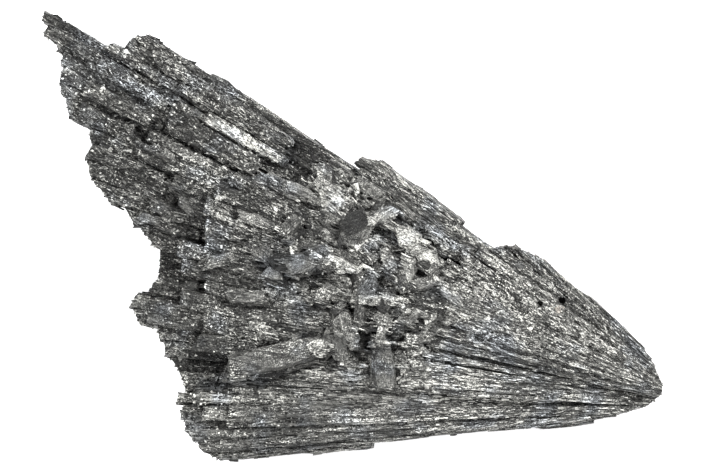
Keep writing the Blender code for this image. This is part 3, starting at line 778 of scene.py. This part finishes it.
def painted_light_and_tone_at(azimuth, radius):
    """Painted shade in hollows, painted contact shadows, and the sum of all the patches of light, shade and
    tone.
    """
    place = fan_point(azimuth, radius)
    total = -PAINTED_HOLLOW_SHADE * np.clip(hollow_at(place[..., 0], place[..., 1]), *HOLLOW_RANGE)
    x, y = place[..., 0], place[..., 1]
    total -= PAINTED_CONTACT_SHADOW * (crossed(x, y, margin=-CONTACT_SHADOW_WIDTH) & ~crossed(x, y, margin=0.0))
    for _, middle, far, wide, long, change in PAINTED_LIGHT_AND_TONE_PATCHES:
        away = ((azimuth - middle) / wide) ** 4 + ((radius - far) / long) ** 4
        total += change * np.exp(-away)
    for middle, far, long, change in PAINTED_SHADE_IN_CRACKS + PAINTED_HIGHLIGHT_BLADES:
        aside = np.radians(azimuth - middle) * radius / BLADE_HALF_WIDTH
        total += change * np.exp(-(aside**4) - ((radius - far) / long) ** 4)
    return total


# %% [markdown]
# ## Laths on the sheets
#
# Each blade is really a bundle of thin laths. They are laid band by band from the root outward, because the
# fan widens and needs more of them further out. Each lath feels its way along the body in short steps, and
# where the body drops or rises at a ledge, the lath is cut in two. So every ledge gets its own ragged edge.

# %% Feeling along the top
PACE = 0.5  # millimetres between two feels
LEDGE = 0.5  # a change of height that cuts a lath
SHORTEST = 1.2
BAND = 7.0
FAN_RADII = (7.0, 116.0)
FAN_AZIMUTHS = (134.0, 188.5)
INNERMOST = 6.5
EARLY = 5.0  # a track may begin this far inside its band
TRACK_SHARE = (0.45, 1.2)  # and it runs over this share of the band
STRAY = 0.2  # degrees


def stretches(heights):
    """Start and end indices of the stretches that have a surface and no ledge."""
    broken = np.isnan(heights[1:]) | np.isnan(heights[:-1]) | (np.abs(np.diff(heights)) > LEDGE)
    edges = [0, *(np.flatnonzero(broken) + 1), len(heights)]
    return [(a, b) for a, b in zip(edges, edges[1:]) if not np.isnan(heights[a])]


def tracks(spacing, seed):
    """Rays of short length all over the fan, as azimuths and radii of their feels."""
    chance = dice(seed)
    for near in np.arange(*FAN_RADII, BAND):
        arc = math.radians(FAN_AZIMUTHS[1] - FAN_AZIMUTHS[0]) * (near + BAND / 2)
        for azimuth in np.linspace(*FAN_AZIMUTHS, int(arc / spacing)):
            begin = max(INNERMOST, near - chance.uniform(0.0, EARLY))
            end = near + BAND * chance.uniform(*TRACK_SHARE)
            radii = np.arange(begin, end, PACE)
            turn = azimuth + chance.normal(0.0, STRAY)
            turn = turn + chance.normal(0.0, STRAY) * np.linspace(-1, 1, len(radii))
            yield turn, radii


# %% Where laths grow
JUMBLE = (158.5, 54.5, 12.0, 10.5)  # the azimuth and radius of its middle, and half its spread
JUMBLE_LATHS = 0.8  # the share of the laths that grew there


def in_jumble(x, y):
    """True in the middle of the fan, where the crystals lie in all directions."""
    azimuth, radius = polar(x, y)
    return ((azimuth - JUMBLE[0]) / JUMBLE[2]) ** 2 + ((radius - JUMBLE[1]) / JUMBLE[3]) ** 2 < 1.0


GROOVE = 0.20  # laths don't grow in hollows deeper than this,
GROOVES_KEPT = 0.70  # apart from a few
LOWER_GROOVES_KEPT = 0.25  # and from most of those on the lower sheet
LOWER_SHEET = 176.5


def lath_runs(spacing, seed):
    """Runs along the top, as (azimuths, radii, heights)."""
    found = []
    chance = dice(seed + 1)
    for azimuth, radii in tracks(spacing, seed):
        points = fan_point(azimuth, radii)
        heights = top_heights(points, surface_trees)
        x, y = points[:, 0], points[:, 1]
        heights[crossed(x, y) | in_pit(x, y)] = NOTHING
        if chance.random() < (GROOVES_KEPT if azimuth[0] < LOWER_SHEET else LOWER_GROOVES_KEPT):
            heights[hollow_at(x, y) > GROOVE] = NOTHING
        for a, b in stretches(heights):
            middle = points[(a + b) // 2]
            hidden = in_jumble(middle[0], middle[1]) and chance.random() > JUMBLE_LATHS
            if radii[b - 1] - radii[a] > SHORTEST and not hidden:
                found.append((azimuth[a:b], radii[a:b], heights[a:b]))
    return found


# %% From a run to a path
STATIONS = 4  # points along a lath


def resample(run, outward, inward):
    """The run's azimuths, radii and heights at a few even stations, with its ends moved a little."""
    azimuth, radius, height = run
    at = np.linspace(radius[0] - inward, radius[-1] + outward, STATIONS)
    return np.interp(at, radius, azimuth), at, np.interp(at, radius, height)


def half_sizes(chance, count, wide, thick):
    """Random half widths and half thicknesses, each between two ends, for that many crystals."""
    return (chance.uniform(*ends, (count, 1, 1)) for ends in (wide, thick))


def leaning(azimuth, lean):
    """Unit vectors across and up from blades that lie along the rays and lean sideways by some degrees."""
    angle, lean = np.broadcast_arrays(np.radians(azimuth), np.radians(lean))
    across = np.stack([-np.sin(angle) * np.cos(lean), np.cos(angle) * np.cos(lean), -np.sin(lean)], axis=-1)
    up = np.stack([-np.sin(angle) * np.sin(lean), np.cos(angle) * np.sin(lean), np.cos(lean)], axis=-1)
    return across, up


# %% Laying the laths
LATH_SPACING = 0.38
LATH_HALF_WIDTH = (0.11, 0.30)
LATH_HALF_THICKNESS = (0.18, 0.34)
LATH_LIFT = (-0.20, 0.14)
LATH_LEAN = 16.0  # degrees, sideways
OUTER_END = (-0.6, 0.2)  # how far each end is moved
INNER_END = (-0.3, 0.4)
WIDENING = 160.0  # at this radius a lath is twice as wide as at the focus


def lay_laths(runs, seed):
    """Paths, across and up vectors and tones, for grow(). All the functions for bars give these."""
    chance = dice(seed)
    count = len(runs)
    samples = [resample(run, chance.uniform(*OUTER_END), chance.uniform(*INNER_END)) for run in runs]
    azimuths, radii, heights = columns(samples)
    thick = chance.uniform(*LATH_HALF_THICKNESS, (count, 1))
    wide = chance.uniform(*LATH_HALF_WIDTH, (count, 1, 1))
    wide = wide * (1.0 + radii.mean(axis=1) / WIDENING)[:, None, None]
    lift = chance.uniform(*LATH_LIFT, (count, 1))
    across, up = leaning(azimuths, chance.normal(0.0, LATH_LEAN, (count, 1)))
    paths = fan_point(azimuths, radii, heights + lift - thick)
    tones = chance.uniform(0.0, 1.0, count) + painted_light_and_tone_at(azimuths.mean(axis=1), radii.mean(axis=1))
    return paths, across * wide, up * thick[..., None], tones


# %% [markdown]
# The sheets don't look alike. The cap is grained, the lower sheet is long and smooth, and the wing is black
# and sparkling. So the fan is split into regions, each with its own finish, and their crystals mix a little
# where two regions meet.

# %% Regions with their own finish
FAR = 999.0
REGIONS = (  # a name, a finish, the radii, and the largest azimuth. A crystal goes to the first that fits
    ("cap", "root", 22, 45, 163),
    ("spoke", "spoke", -FAR, 45, FAR),
    ("middle", "middle", 45, 68, 176),
    ("wing", "wing", 68, FAR, 163),
    ("shelf", "shelf", 68, FAR, 176),
    ("lower", "lower", 45, FAR, FAR),
)
BORDER = 3.0  # how far the crystals of two neighbouring regions mix, in millimetres
BORDER_TURN = 0.5  # and in degrees


def grow_by_region(kind, paths, across, up, tones, seed):
    """One piece for each region of the fan, from the crystals whose middle lies there."""
    middle = paths.mean(axis=1)
    azimuth, radius = polar(middle[:, 0], middle[:, 1])
    chance = dice(seed)
    azimuth = azimuth + chance.normal(0.0, BORDER_TURN, len(middle))
    radius = radius + chance.normal(0.0, BORDER, len(middle))
    free = np.ones(len(middle), bool)
    pieces = []
    for number, (region, look, near, far, turn) in enumerate(REGIONS):
        here = free & (radius >= near) & (radius < far) & (azimuth < turn)
        free &= ~here
        if here.any():
            picked = (values[here] for values in (paths, across, up, tones))
            pieces.append(grow(f"{region}_{kind}", finish[look], *picked, seed + number))
    return pieces


runs = lath_runs(LATH_SPACING, 3)
print("the body carries", len(runs), "lath runs")
lath_pieces = grow_by_region("laths", *lay_laths(runs, 4), seed=40)

# %% [markdown]
# ## Broken ends
#
# Where a sheet ends, all the laths inside it show their broken ends, one above the other. Rays cast along
# the blades find these walls at several heights, and a short stub is set into the wall at each hit.

# %% Feeling for the walls
BELOW = -10.0
UP = Vector((0.0, 0.0, 1.0))


def underside_at(point):
    """The height of the body's underside there, felt from below, or nan."""
    return BELOW + cast((*point[:2], BELOW), UP, [body_tree])


def walls(spacing, seed):
    """Walls that face along the blades, as (azimuth, radius, low, high, 1 if it faces outward or -1)."""
    for azimuth, radii in tracks(spacing, seed):
        points = fan_point(azimuth, radii)
        heights = top_heights(points, [body_tree])
        pits = in_pit(points[:, 0], points[:, 1], margin=0.8)
        for k in range(len(radii) - 1):
            here, beyond = heights[k], heights[k + 1]
            if np.isnan(here) and np.isnan(beyond) or pits[k]:
                continue
            if np.isnan(beyond) or here - beyond > LEDGE:
                low = beyond if not np.isnan(beyond) else underside_at(points[k])
                yield azimuth[k], radii[k + 1], low, here, 1
            elif np.isnan(here) or beyond - here > LEDGE:
                low = here if not np.isnan(here) else underside_at(points[k + 1])
                yield azimuth[k], radii[k], low, beyond, -1


# %% Setting the ends into the walls
STUB_SPACING = 0.55
STUB_STEP = 0.5
STUB_JITTER = 0.15
LOWEST_STUB = 0.3
STUB_TIP = (-0.5, 0.15)  # how far a stub stands out of its wall
STUB_ROOT = (1.0, 2.5)  # and how far it reaches back into it
LOOK_BACK = 1.5  # from this far outside the wall
TABLE_GAP = 0.1  # nothing may reach below the table


def stubs(spacing, seed):
    """Ends of laths in every such wall, as arrays for grow()."""
    chance = dice(seed + 1)
    found = []
    for azimuth, radius, low, high, facing in walls(spacing, seed):
        outward = rays(np.array(azimuth))
        for z in np.arange(max(low, 0.0) + LOWEST_STUB, high - STUB_JITTER, STUB_STEP):
            z += chance.uniform(-STUB_JITTER, STUB_JITTER)
            start = fan_point(azimuth, radius + facing * LOOK_BACK, z)
            deep = cast(start, Vector(-facing * outward), [body_tree], reach=4 * LOOK_BACK)
            if np.isnan(deep):
                continue
            wall = radius + facing * (LOOK_BACK - deep)
            tip = wall + facing * chance.uniform(*STUB_TIP)
            back = wall - facing * chance.uniform(*STUB_ROOT)
            found.append((azimuth, *sorted((tip, back)), z))
    azimuth, near, far, z = np.array(found).T
    count = len(found)
    radii = np.linspace(near, far, 2, axis=1)
    spread = azimuth[:, None] + chance.normal(0.0, 0.12, (count, 2))
    heights = z[:, None] + chance.normal(0.0, 0.10, (count, 2))
    across, up = leaning(spread, chance.normal(0.0, 20.0, (count, 1)))
    wide, thick = half_sizes(chance, count, wide=(0.18, 0.42), thick=(0.16, 0.34))
    heights = np.maximum(heights, thick[..., 0] + TABLE_GAP)
    tones = chance.uniform(0.0, 1.0, count) + painted_light_and_tone_at(azimuth, (near + far) / 2)
    return fan_point(spread, radii, heights), across * wide, up * thick, tones


grow_by_region("ends", *stubs(STUB_SPACING, 8), seed=60)

# %% [markdown]
# ## The long sides
#
# Seen from the side, the fan is a stack of sheets. Rays cast sideways find its two long walls, and laths
# follow them in the same way as on the top.

# %% Laying laths on a side
SIDES = (  # the azimuth of the wall, and the direction that it faces
    ("upper_side", 143.5, 53.5),
    ("lower_side", 184.0, 274.0),
)
SIDE_HEIGHTS = (0.35, 18.0, 0.5)  # the lowest and the highest row, and the step between rows
OUTSIDE = 30.0
SIDE_FEELS = (8, 26)  # how many feels a lath on a side runs over
FEWEST_FEELS = 4
PAINTED_SHADE_TONES = (0.0, 0.8)  # painted shade: the sides and the underside are a little darker than the top


def side_runs(azimuth, facing, seed):
    """Runs along a side wall, each a list of points on it."""
    chance = dice(seed)
    outward = rays(np.array(float(facing)))
    radii = np.arange(FAN_RADII[0], FAN_RADII[1], PACE)
    for z in np.arange(*SIDE_HEIGHTS):
        starts = fan_point(azimuth, radii, z) + outward * OUTSIDE
        depths = np.array([cast(p, Vector(-outward), [body_tree], reach=OUTSIDE + 8.0) for p in starts])
        points = starts - outward * depths[:, None]
        depths[in_pit(points[:, 0], points[:, 1], margin=0.6)] = NOTHING
        for a, b in stretches(depths):
            while b - a > FEWEST_FEELS:
                stop = min(b, a + int(chance.uniform(*SIDE_FEELS)))
                if stop - a >= FEWEST_FEELS:
                    yield points[a:stop]
                a = stop


def lay_on_side(azimuth, facing, seed):
    chance = dice(seed + 1)
    outward = rays(np.array(float(facing)))
    runs = list(side_runs(azimuth, facing, seed))
    count = len(runs)
    paths = np.array([r[np.linspace(0, len(r) - 1, STATIONS).round().astype(int)] for r in runs])
    lift = chance.uniform(-0.25, 0.15, (count, 1, 1))
    wide, thick = half_sizes(chance, count, wide=(0.16, 0.34), thick=(0.16, 0.30))
    paths = paths + outward * (lift - thick)
    paths[..., 2] = np.maximum(paths[..., 2] + chance.normal(0, 0.12, (count, 1)), wide[..., 0] + 0.05)
    lean = np.radians(chance.normal(0.0, 14.0, (count, 1, 1)))
    vertical = np.array(UP)
    across = (vertical * np.cos(lean) + outward * np.sin(lean)) * wide
    up = (outward * np.cos(lean) - vertical * np.sin(lean)) * thick
    across, up = (np.repeat(v, STATIONS, axis=1) for v in (across, up))
    return paths, across, up, chance.uniform(*PAINTED_SHADE_TONES, count)


for number, (name, azimuth, facing) in enumerate(SIDES):
    grow(name, finish["root"], *lay_on_side(azimuth, facing, 80 + number), seed=90 + number)

# %% [markdown]
# ## The underside
#
# The fan rests on the flats of its lowest blades, and those stay as they are. Between them, in the grooves,
# laths follow the blades here too. Rays cast upwards find them. Nothing may reach below the table.

# %% Laths in the grooves of the underside
UNDER_SPACING = 0.8
UNDER_LEAST = 0.35  # a groove that is shallower than this stays bare
UNDER_TRIM = 0.2  # a lath ends this far before its groove does


def lay_under(seed):
    chance = dice(seed)
    found = []
    for azimuth, radii in tracks(UNDER_SPACING, seed):
        heights = np.array([underside_at(point) for point in fan_point(azimuth, radii)])
        heights[~(heights > UNDER_LEAST)] = NOTHING
        for a, b in stretches(heights):
            if b - a >= FEWEST_FEELS:
                found.append(resample((azimuth[a:b], radii[a:b], heights[a:b]), -UNDER_TRIM, -UNDER_TRIM))
    azimuths, radii, heights = columns(found)
    count = len(found)
    wide, thick = half_sizes(chance, count, wide=(0.16, 0.34), thick=(0.14, 0.24))
    across, up = leaning(azimuths, chance.normal(0.0, 12.0, (count, 1)))
    half = thick[..., 0]
    middles = np.maximum(heights + half - chance.uniform(0.05, 0.2, (count, 1)), half + TABLE_GAP)
    paths = fan_point(azimuths, radii, middles)
    return paths, across * wide, up * thick, chance.uniform(*PAINTED_SHADE_TONES, count)


grow("underside", finish["spoke"], *lay_under(86), seed=96)

# %% [markdown]
# ## Chips
#
# In the middle of the fan the crystals lie in all directions, and there are chips of them on the wing too.
# Each chip is a slab with a broken outline, half sunk into what it lies on and tilted at random. The tilts
# matter most: every chip then catches the light in its own way.

# %% Scattering chips
CHIP_GROUPS = (  # a name, how many, the azimuths, the radii, and half of the largest length
    ("middle_chips", 900, (147.0, 175.5), (42.0, 68.0), 2.0),
    ("wing_chips", 240, (146.8, 162.0), (67.0, 104.0), 1.1),
    ("shelf_chips", 120, (163.0, 180.0), (62.0, 83.0), 1.1),
    ("root_chips", 240, (139.0, 163.0), (18.0, 46.0), 1.0),
)


def random_place(chance, azimuths, radii):
    """A place as likely near the root as far out: its azimuth, its radius and the point."""
    azimuth = chance.uniform(*azimuths)
    radius = math.sqrt(chance.uniform(radii[0] ** 2, radii[1] ** 2))
    return azimuth, radius, fan_point(azimuth, radius)


TALLEST_STEP = 1.6  # a chip doesn't bridge a higher step than this, nor stick out over the edge
CHIP_TURNS = (38.0, 13.0, 17.0)  # how far chips turn and tilt, in degrees
CHIP_TONE = (0.45, 0.75)  # the middle and the spread


def scatter_chips(count, azimuths, radii, longest, seed):
    """Centres, axes, half sizes and tones, for grow_flakes(). All the functions for slabs give these."""
    chance = dice(seed)
    found = []
    while len(found) < count:
        azimuth, radius, place = random_place(chance, azimuths, radii)
        height = top_heights(place[None], surface_trees)[0]
        half = chance.uniform(0.35, 1.0) * longest
        halves = (half, half * chance.uniform(0.35, 0.75), chance.uniform(0.16, 0.40))
        yaw, pitch, roll = chance.normal(0.0, CHIP_TURNS)
        axes = turned(azimuth + yaw, pitch, roll)
        ends = top_heights(place + axes[0] * half * np.array([[-0.9], [0.9]]), surface_trees)
        unsupported = np.isnan(height) or not np.ptp(ends) < TALLEST_STEP
        x, y = place[:2]
        if unsupported or crossed(x, y, margin=0.35) or in_pit(x, y, margin=half):
            continue
        place[2] = height + chance.uniform(-0.30, 0.06)
        tone = chance.normal(*CHIP_TONE) + float(painted_light_and_tone_at(azimuth, radius))
        found.append((place, axes, halves, tone))
    return columns(found)


def trees_of(pieces):
    """A tree for each piece, so that what comes next lies on it."""
    graph = bpy.context.evaluated_depsgraph_get()
    return [BVHTree.FromObject(piece, graph) for piece in pieces]


surface_trees = [body_tree] + trees_of(lath_pieces + [crossing_piece])
chip_pieces = []
for number, (name, count, azimuths, radii, longest) in enumerate(CHIP_GROUPS):
    placed = scatter_chips(count, azimuths, radii, longest, 20 + number)
    chip_pieces.append(grow_flakes(name, finish["flake"], *placed, seed=30 + number))

# %% [markdown]
# ## Plates that stand out
#
# A few larger plates give this fan its face: a long pale blade on the wing, white streaks beside the lower
# sheet, dark and pale facets in the middle. The pale ones carry a painted highlight where their faces catch
# the light. Each lies on what is under it, along the slope that five rays find there.

# %% Laying the plates
# the palest tones are painted highlights of plates whose faces catch the light
PLATES = (  # the azimuth and radius of the middle, length, width, turn away from the ray, roll, and tone
    (149.8, 79.6, 13.6, 1.6, 0, 4, 1.7),
    (148.2, 77.0, 2.4, 1.3, 25, -6, 1.5),
    (147.6, 64.8, 3.6, 1.8, 6, 8, 0.9),
    (149.6, 65.8, 3.8, 2.0, -8, -6, 1.0),
    (148.4, 66.8, 2.4, 1.6, 30, 5, 1.2),
    (150.4, 55.2, 2.2, 1.4, -20, 12, 1.8),
    (151.4, 47.4, 3.0, 1.8, -18, -14, 1.8),
    (158.4, 76.8, 7.0, 0.9, 2, 8, 1.4),
    (157.7, 78.6, 4.0, 0.7, -2, -8, 1.1),
    (170.8, 59.0, 2.8, 2.0, 35, 12, 1.2),
    (174.4, 56.0, 7.6, 0.9, 1, -6, 1.4),
    (175.2, 53.0, 3.6, 0.8, -3, 6, 1.1),
    (163.3, 59.0, 1.4, 0.9, 50, 10, 1.6),
    (163.5, 64.0, 1.5, 1.0, -30, -8, 1.5),
    (165.0, 68.0, 1.6, 0.9, 10, 8, 1.4),
    (155.8, 56.4, 4.4, 2.2, 60, -8, 0.4),
    (152.2, 59.4, 4.6, 3.2, 58, -12, -1.2),
    (166.5, 56.0, 4.0, 2.2, 60, 14, 0.6),
    (168.8, 57.2, 3.6, 2.0, 75, 10, 0.7),
    (160.4, 64.0, 5.0, 2.6, 38, -10, 0.5),
    (178.7, 76.0, 2.6, 1.1, 0, 4, 1.1),
    (161.6, 71.2, 5.6, 0.6, 8, 0, 0.9),
    (162.3, 70.6, 5.0, 0.5, 12, 0, 0.2),
    (161.0, 72.0, 4.4, 0.5, 4, 0, 1.2),
    (166.1, 51.9, 2.6, 1.8, 20, 10, 0.4),
    (164.7, 50.2, 2.2, 1.6, 70, -12, 0.6),
    (162.4, 48.6, 4.6, 2.2, 5, -8, 0.5),
    (163.7, 52.3, 4.0, 1.8, 40, 8, 0.2),
    (168.7, 52.3, 4.4, 1.8, 75, 6, 0.3),
    (166.4, 47.5, 4.6, 2.0, 20, -6, 0.4),
)
PLATE_HALF_THICKNESS = 0.5
PLATE_LIFT = -0.35  # so most of each plate is sunk into what carries it


def lay_plates():
    found = []
    for azimuth, radius, length, width, turn, roll, tone in PLATES:
        place = fan_point(azimuth, radius)
        along = rays(np.array(float(azimuth + turn)))
        felt = np.linspace(-0.35, 0.35, 5) * length
        heights = top_heights(place + along * felt[:, None], surface_trees)
        slope, middle = np.polyfit(felt, heights, 1)
        slope = math.degrees(math.atan(slope))
        place[2] = middle + PLATE_LIFT
        halves = (length / 2, width / 2, PLATE_HALF_THICKNESS)
        found.append((place, turned(azimuth + turn, -slope, roll), halves, tone))
    return columns(found)


surface_trees += trees_of(chip_pieces)
plate_piece = grow_flakes(
    "plates", finish["facet"], *lay_plates(), 15, sides=6, square=0.4, ragged=(0.8, 1.12)
)

# %% [markdown]
# ## Fibres
#
# The finest crystals are short fibres, no longer than a grain of rice is wide, that lie on everything. They
# break up the long lines of the laths. Near the root they keep to the rays. On the wing and in the middle
# they lie more freely, which gives those parts their sugary look.

# %% Scattering fibres
FIBRES = 10000
FIBRE_LENGTH = (0.5, 2.2)
FIBRE_TURNS = (4.0, 10.0, 16.0)  # how loosely they lie near the root, on the cap and further out, in degrees
FIBRE_STEP = 0.8  # a fibre doesn't bridge a higher step than this


def scatter_fibres(count, seed):
    chance = dice(seed)
    found = []
    while len(found) < count:
        azimuth, radius, middle = random_place(chance, FAN_AZIMUTHS, FAN_RADII)
        length = chance.uniform(*FIBRE_LENGTH)
        if crossed(middle[0], middle[1], margin=0.3) or in_pit(middle[0], middle[1], margin=0.1):
            continue
        where = 0 if radius < 22 or azimuth > 163 else 1 if radius < 44 else 2
        heading = azimuth + chance.normal(0.0, FIBRE_TURNS[where])
        ends = middle + rays(np.array(heading)) * length * np.array([[-0.5], [0.5]])
        heights = top_heights(ends, surface_trees)
        if np.isnan(heights).any() or abs(heights[1] - heights[0]) > FIBRE_STEP:
            continue
        ends[:, 2] = heights
        found.append((*ends.ravel(), heading, azimuth, radius))
    found = np.array(found)
    paths, heading = found[:, :6].reshape(-1, 2, 3), found[:, 6]
    wide, thick = half_sizes(chance, count, wide=(0.07, 0.18), thick=(0.07, 0.16))
    paths[..., 2] += chance.uniform(-0.10, 0.06, (count, 1)) + chance.normal(0.0, 0.05, (count, 2))
    across, up = leaning(heading[:, None].repeat(2, axis=1), chance.normal(0.0, 30.0, (count, 1)))
    tones = chance.uniform(0.0, 1.0, count) + painted_light_and_tone_at(found[:, 7], found[:, 8])
    return paths, across * wide, up * thick, tones


surface_trees += trees_of([plate_piece])
grow_by_region("fibres", *scatter_fibres(FIBRES, 12), seed=100)

# %% [markdown]
# ## Sugar
#
# The wing, the shelf, the middle and the end of the lower sheet are covered with tiny broken grains. Most of
# them stay dark, and a few carry a painted glint and show white, so their tones spread much wider than those
# of the laths.

# %% Scattering grains
GRAIN_GROUPS = (
    ("wing_sugar", 2900, (145.8, 163.5), (76.0, 113.0)),
    ("middle_sugar", 900, (146.0, 177.0), (44.0, 72.0)),
    ("shelf_sugar", 1100, (163.5, 176.5), (66.0, 84.0)),
    ("lower_sugar", 1500, (176.5, 186.0), (60.0, 78.0)),
)


GRAIN_TILT = 25.0  # degrees
GRAIN_TONES_AND_GLINTS = (0.5, 1.1)  # the middle and the spread, wide enough that a few grains get a painted glint
SMALLEST_GRAIN = (0.14, 0.09, 0.07)  # half sizes
LARGEST_GRAIN = (0.34, 0.22, 0.18)


def scatter_grains(count, azimuths, radii, seed):
    chance = dice(seed)
    found = []
    while len(found) < count:
        azimuth, radius, place = random_place(chance, azimuths, radii)
        height = top_heights(place[None], surface_trees)[0]
        if np.isnan(height) or crossed(place[0], place[1], margin=-0.2):
            continue
        place[2] = height + chance.uniform(-0.10, 0.05)
        axes = turned(chance.uniform(-180.0, 180.0), *chance.normal(0.0, GRAIN_TILT, 2))
        tone = chance.normal(*GRAIN_TONES_AND_GLINTS) + float(painted_light_and_tone_at(azimuth, radius))
        found.append((place, axes, chance.uniform(SMALLEST_GRAIN, LARGEST_GRAIN), tone))
    return columns(found)


for number, (name, count, azimuths, radii) in enumerate(GRAIN_GROUPS):
    grains = scatter_grains(count, azimuths, radii, 50 + number)
    grow_flakes(name, finish["flake"], *grains, seed=70 + number, sides=4)

# %% [markdown]
# A pinch of pale clay is left beside the two pits.

# %% The clay
CLAY_GRAINS = 34
CLAY_PLACE = (146.4, 26.7)  # its azimuth and radius
CLAY_SPREAD = (0.55, 0.30)  # along x and y
CLAY_TILT = 20.0


def scatter_clay(count, seed):
    chance = dice(seed)
    places = fan_point(*CLAY_PLACE) + chance.normal(0.0, (*CLAY_SPREAD, 0.0), (count, 3))
    places[:, 2] = top_heights(places, surface_trees)
    turns = [(chance.uniform(-180.0, 180.0), *chance.normal(0.0, CLAY_TILT, 2)) for _ in places]
    halves = chance.uniform((0.10, 0.08, 0.07), (0.28, 0.20, 0.14), (count, 3))
    axes = np.array([turned(*turn) for turn in turns])
    return places, axes, halves, chance.uniform(-0.6, 1.0, count)


grow_flakes("clay", finish["clay"], *scatter_clay(CLAY_GRAINS, 91), seed=92)

# %% [markdown]
# ## The size
#
# The crystals are meant to add no more than a hair's breadth to the body's size. So at the end the script
# prints, along each axis, how many times the size of the body the dressed fan measures.

# %% The two boxes, and the end
low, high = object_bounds()
for axis in range(3):
    grown = (high[axis] - low[axis]) / (cad_high[axis] - cad_low[axis])
    print("along", "XYZ"[axis], "the dressed fan is", round(grown, 3), "times the body")
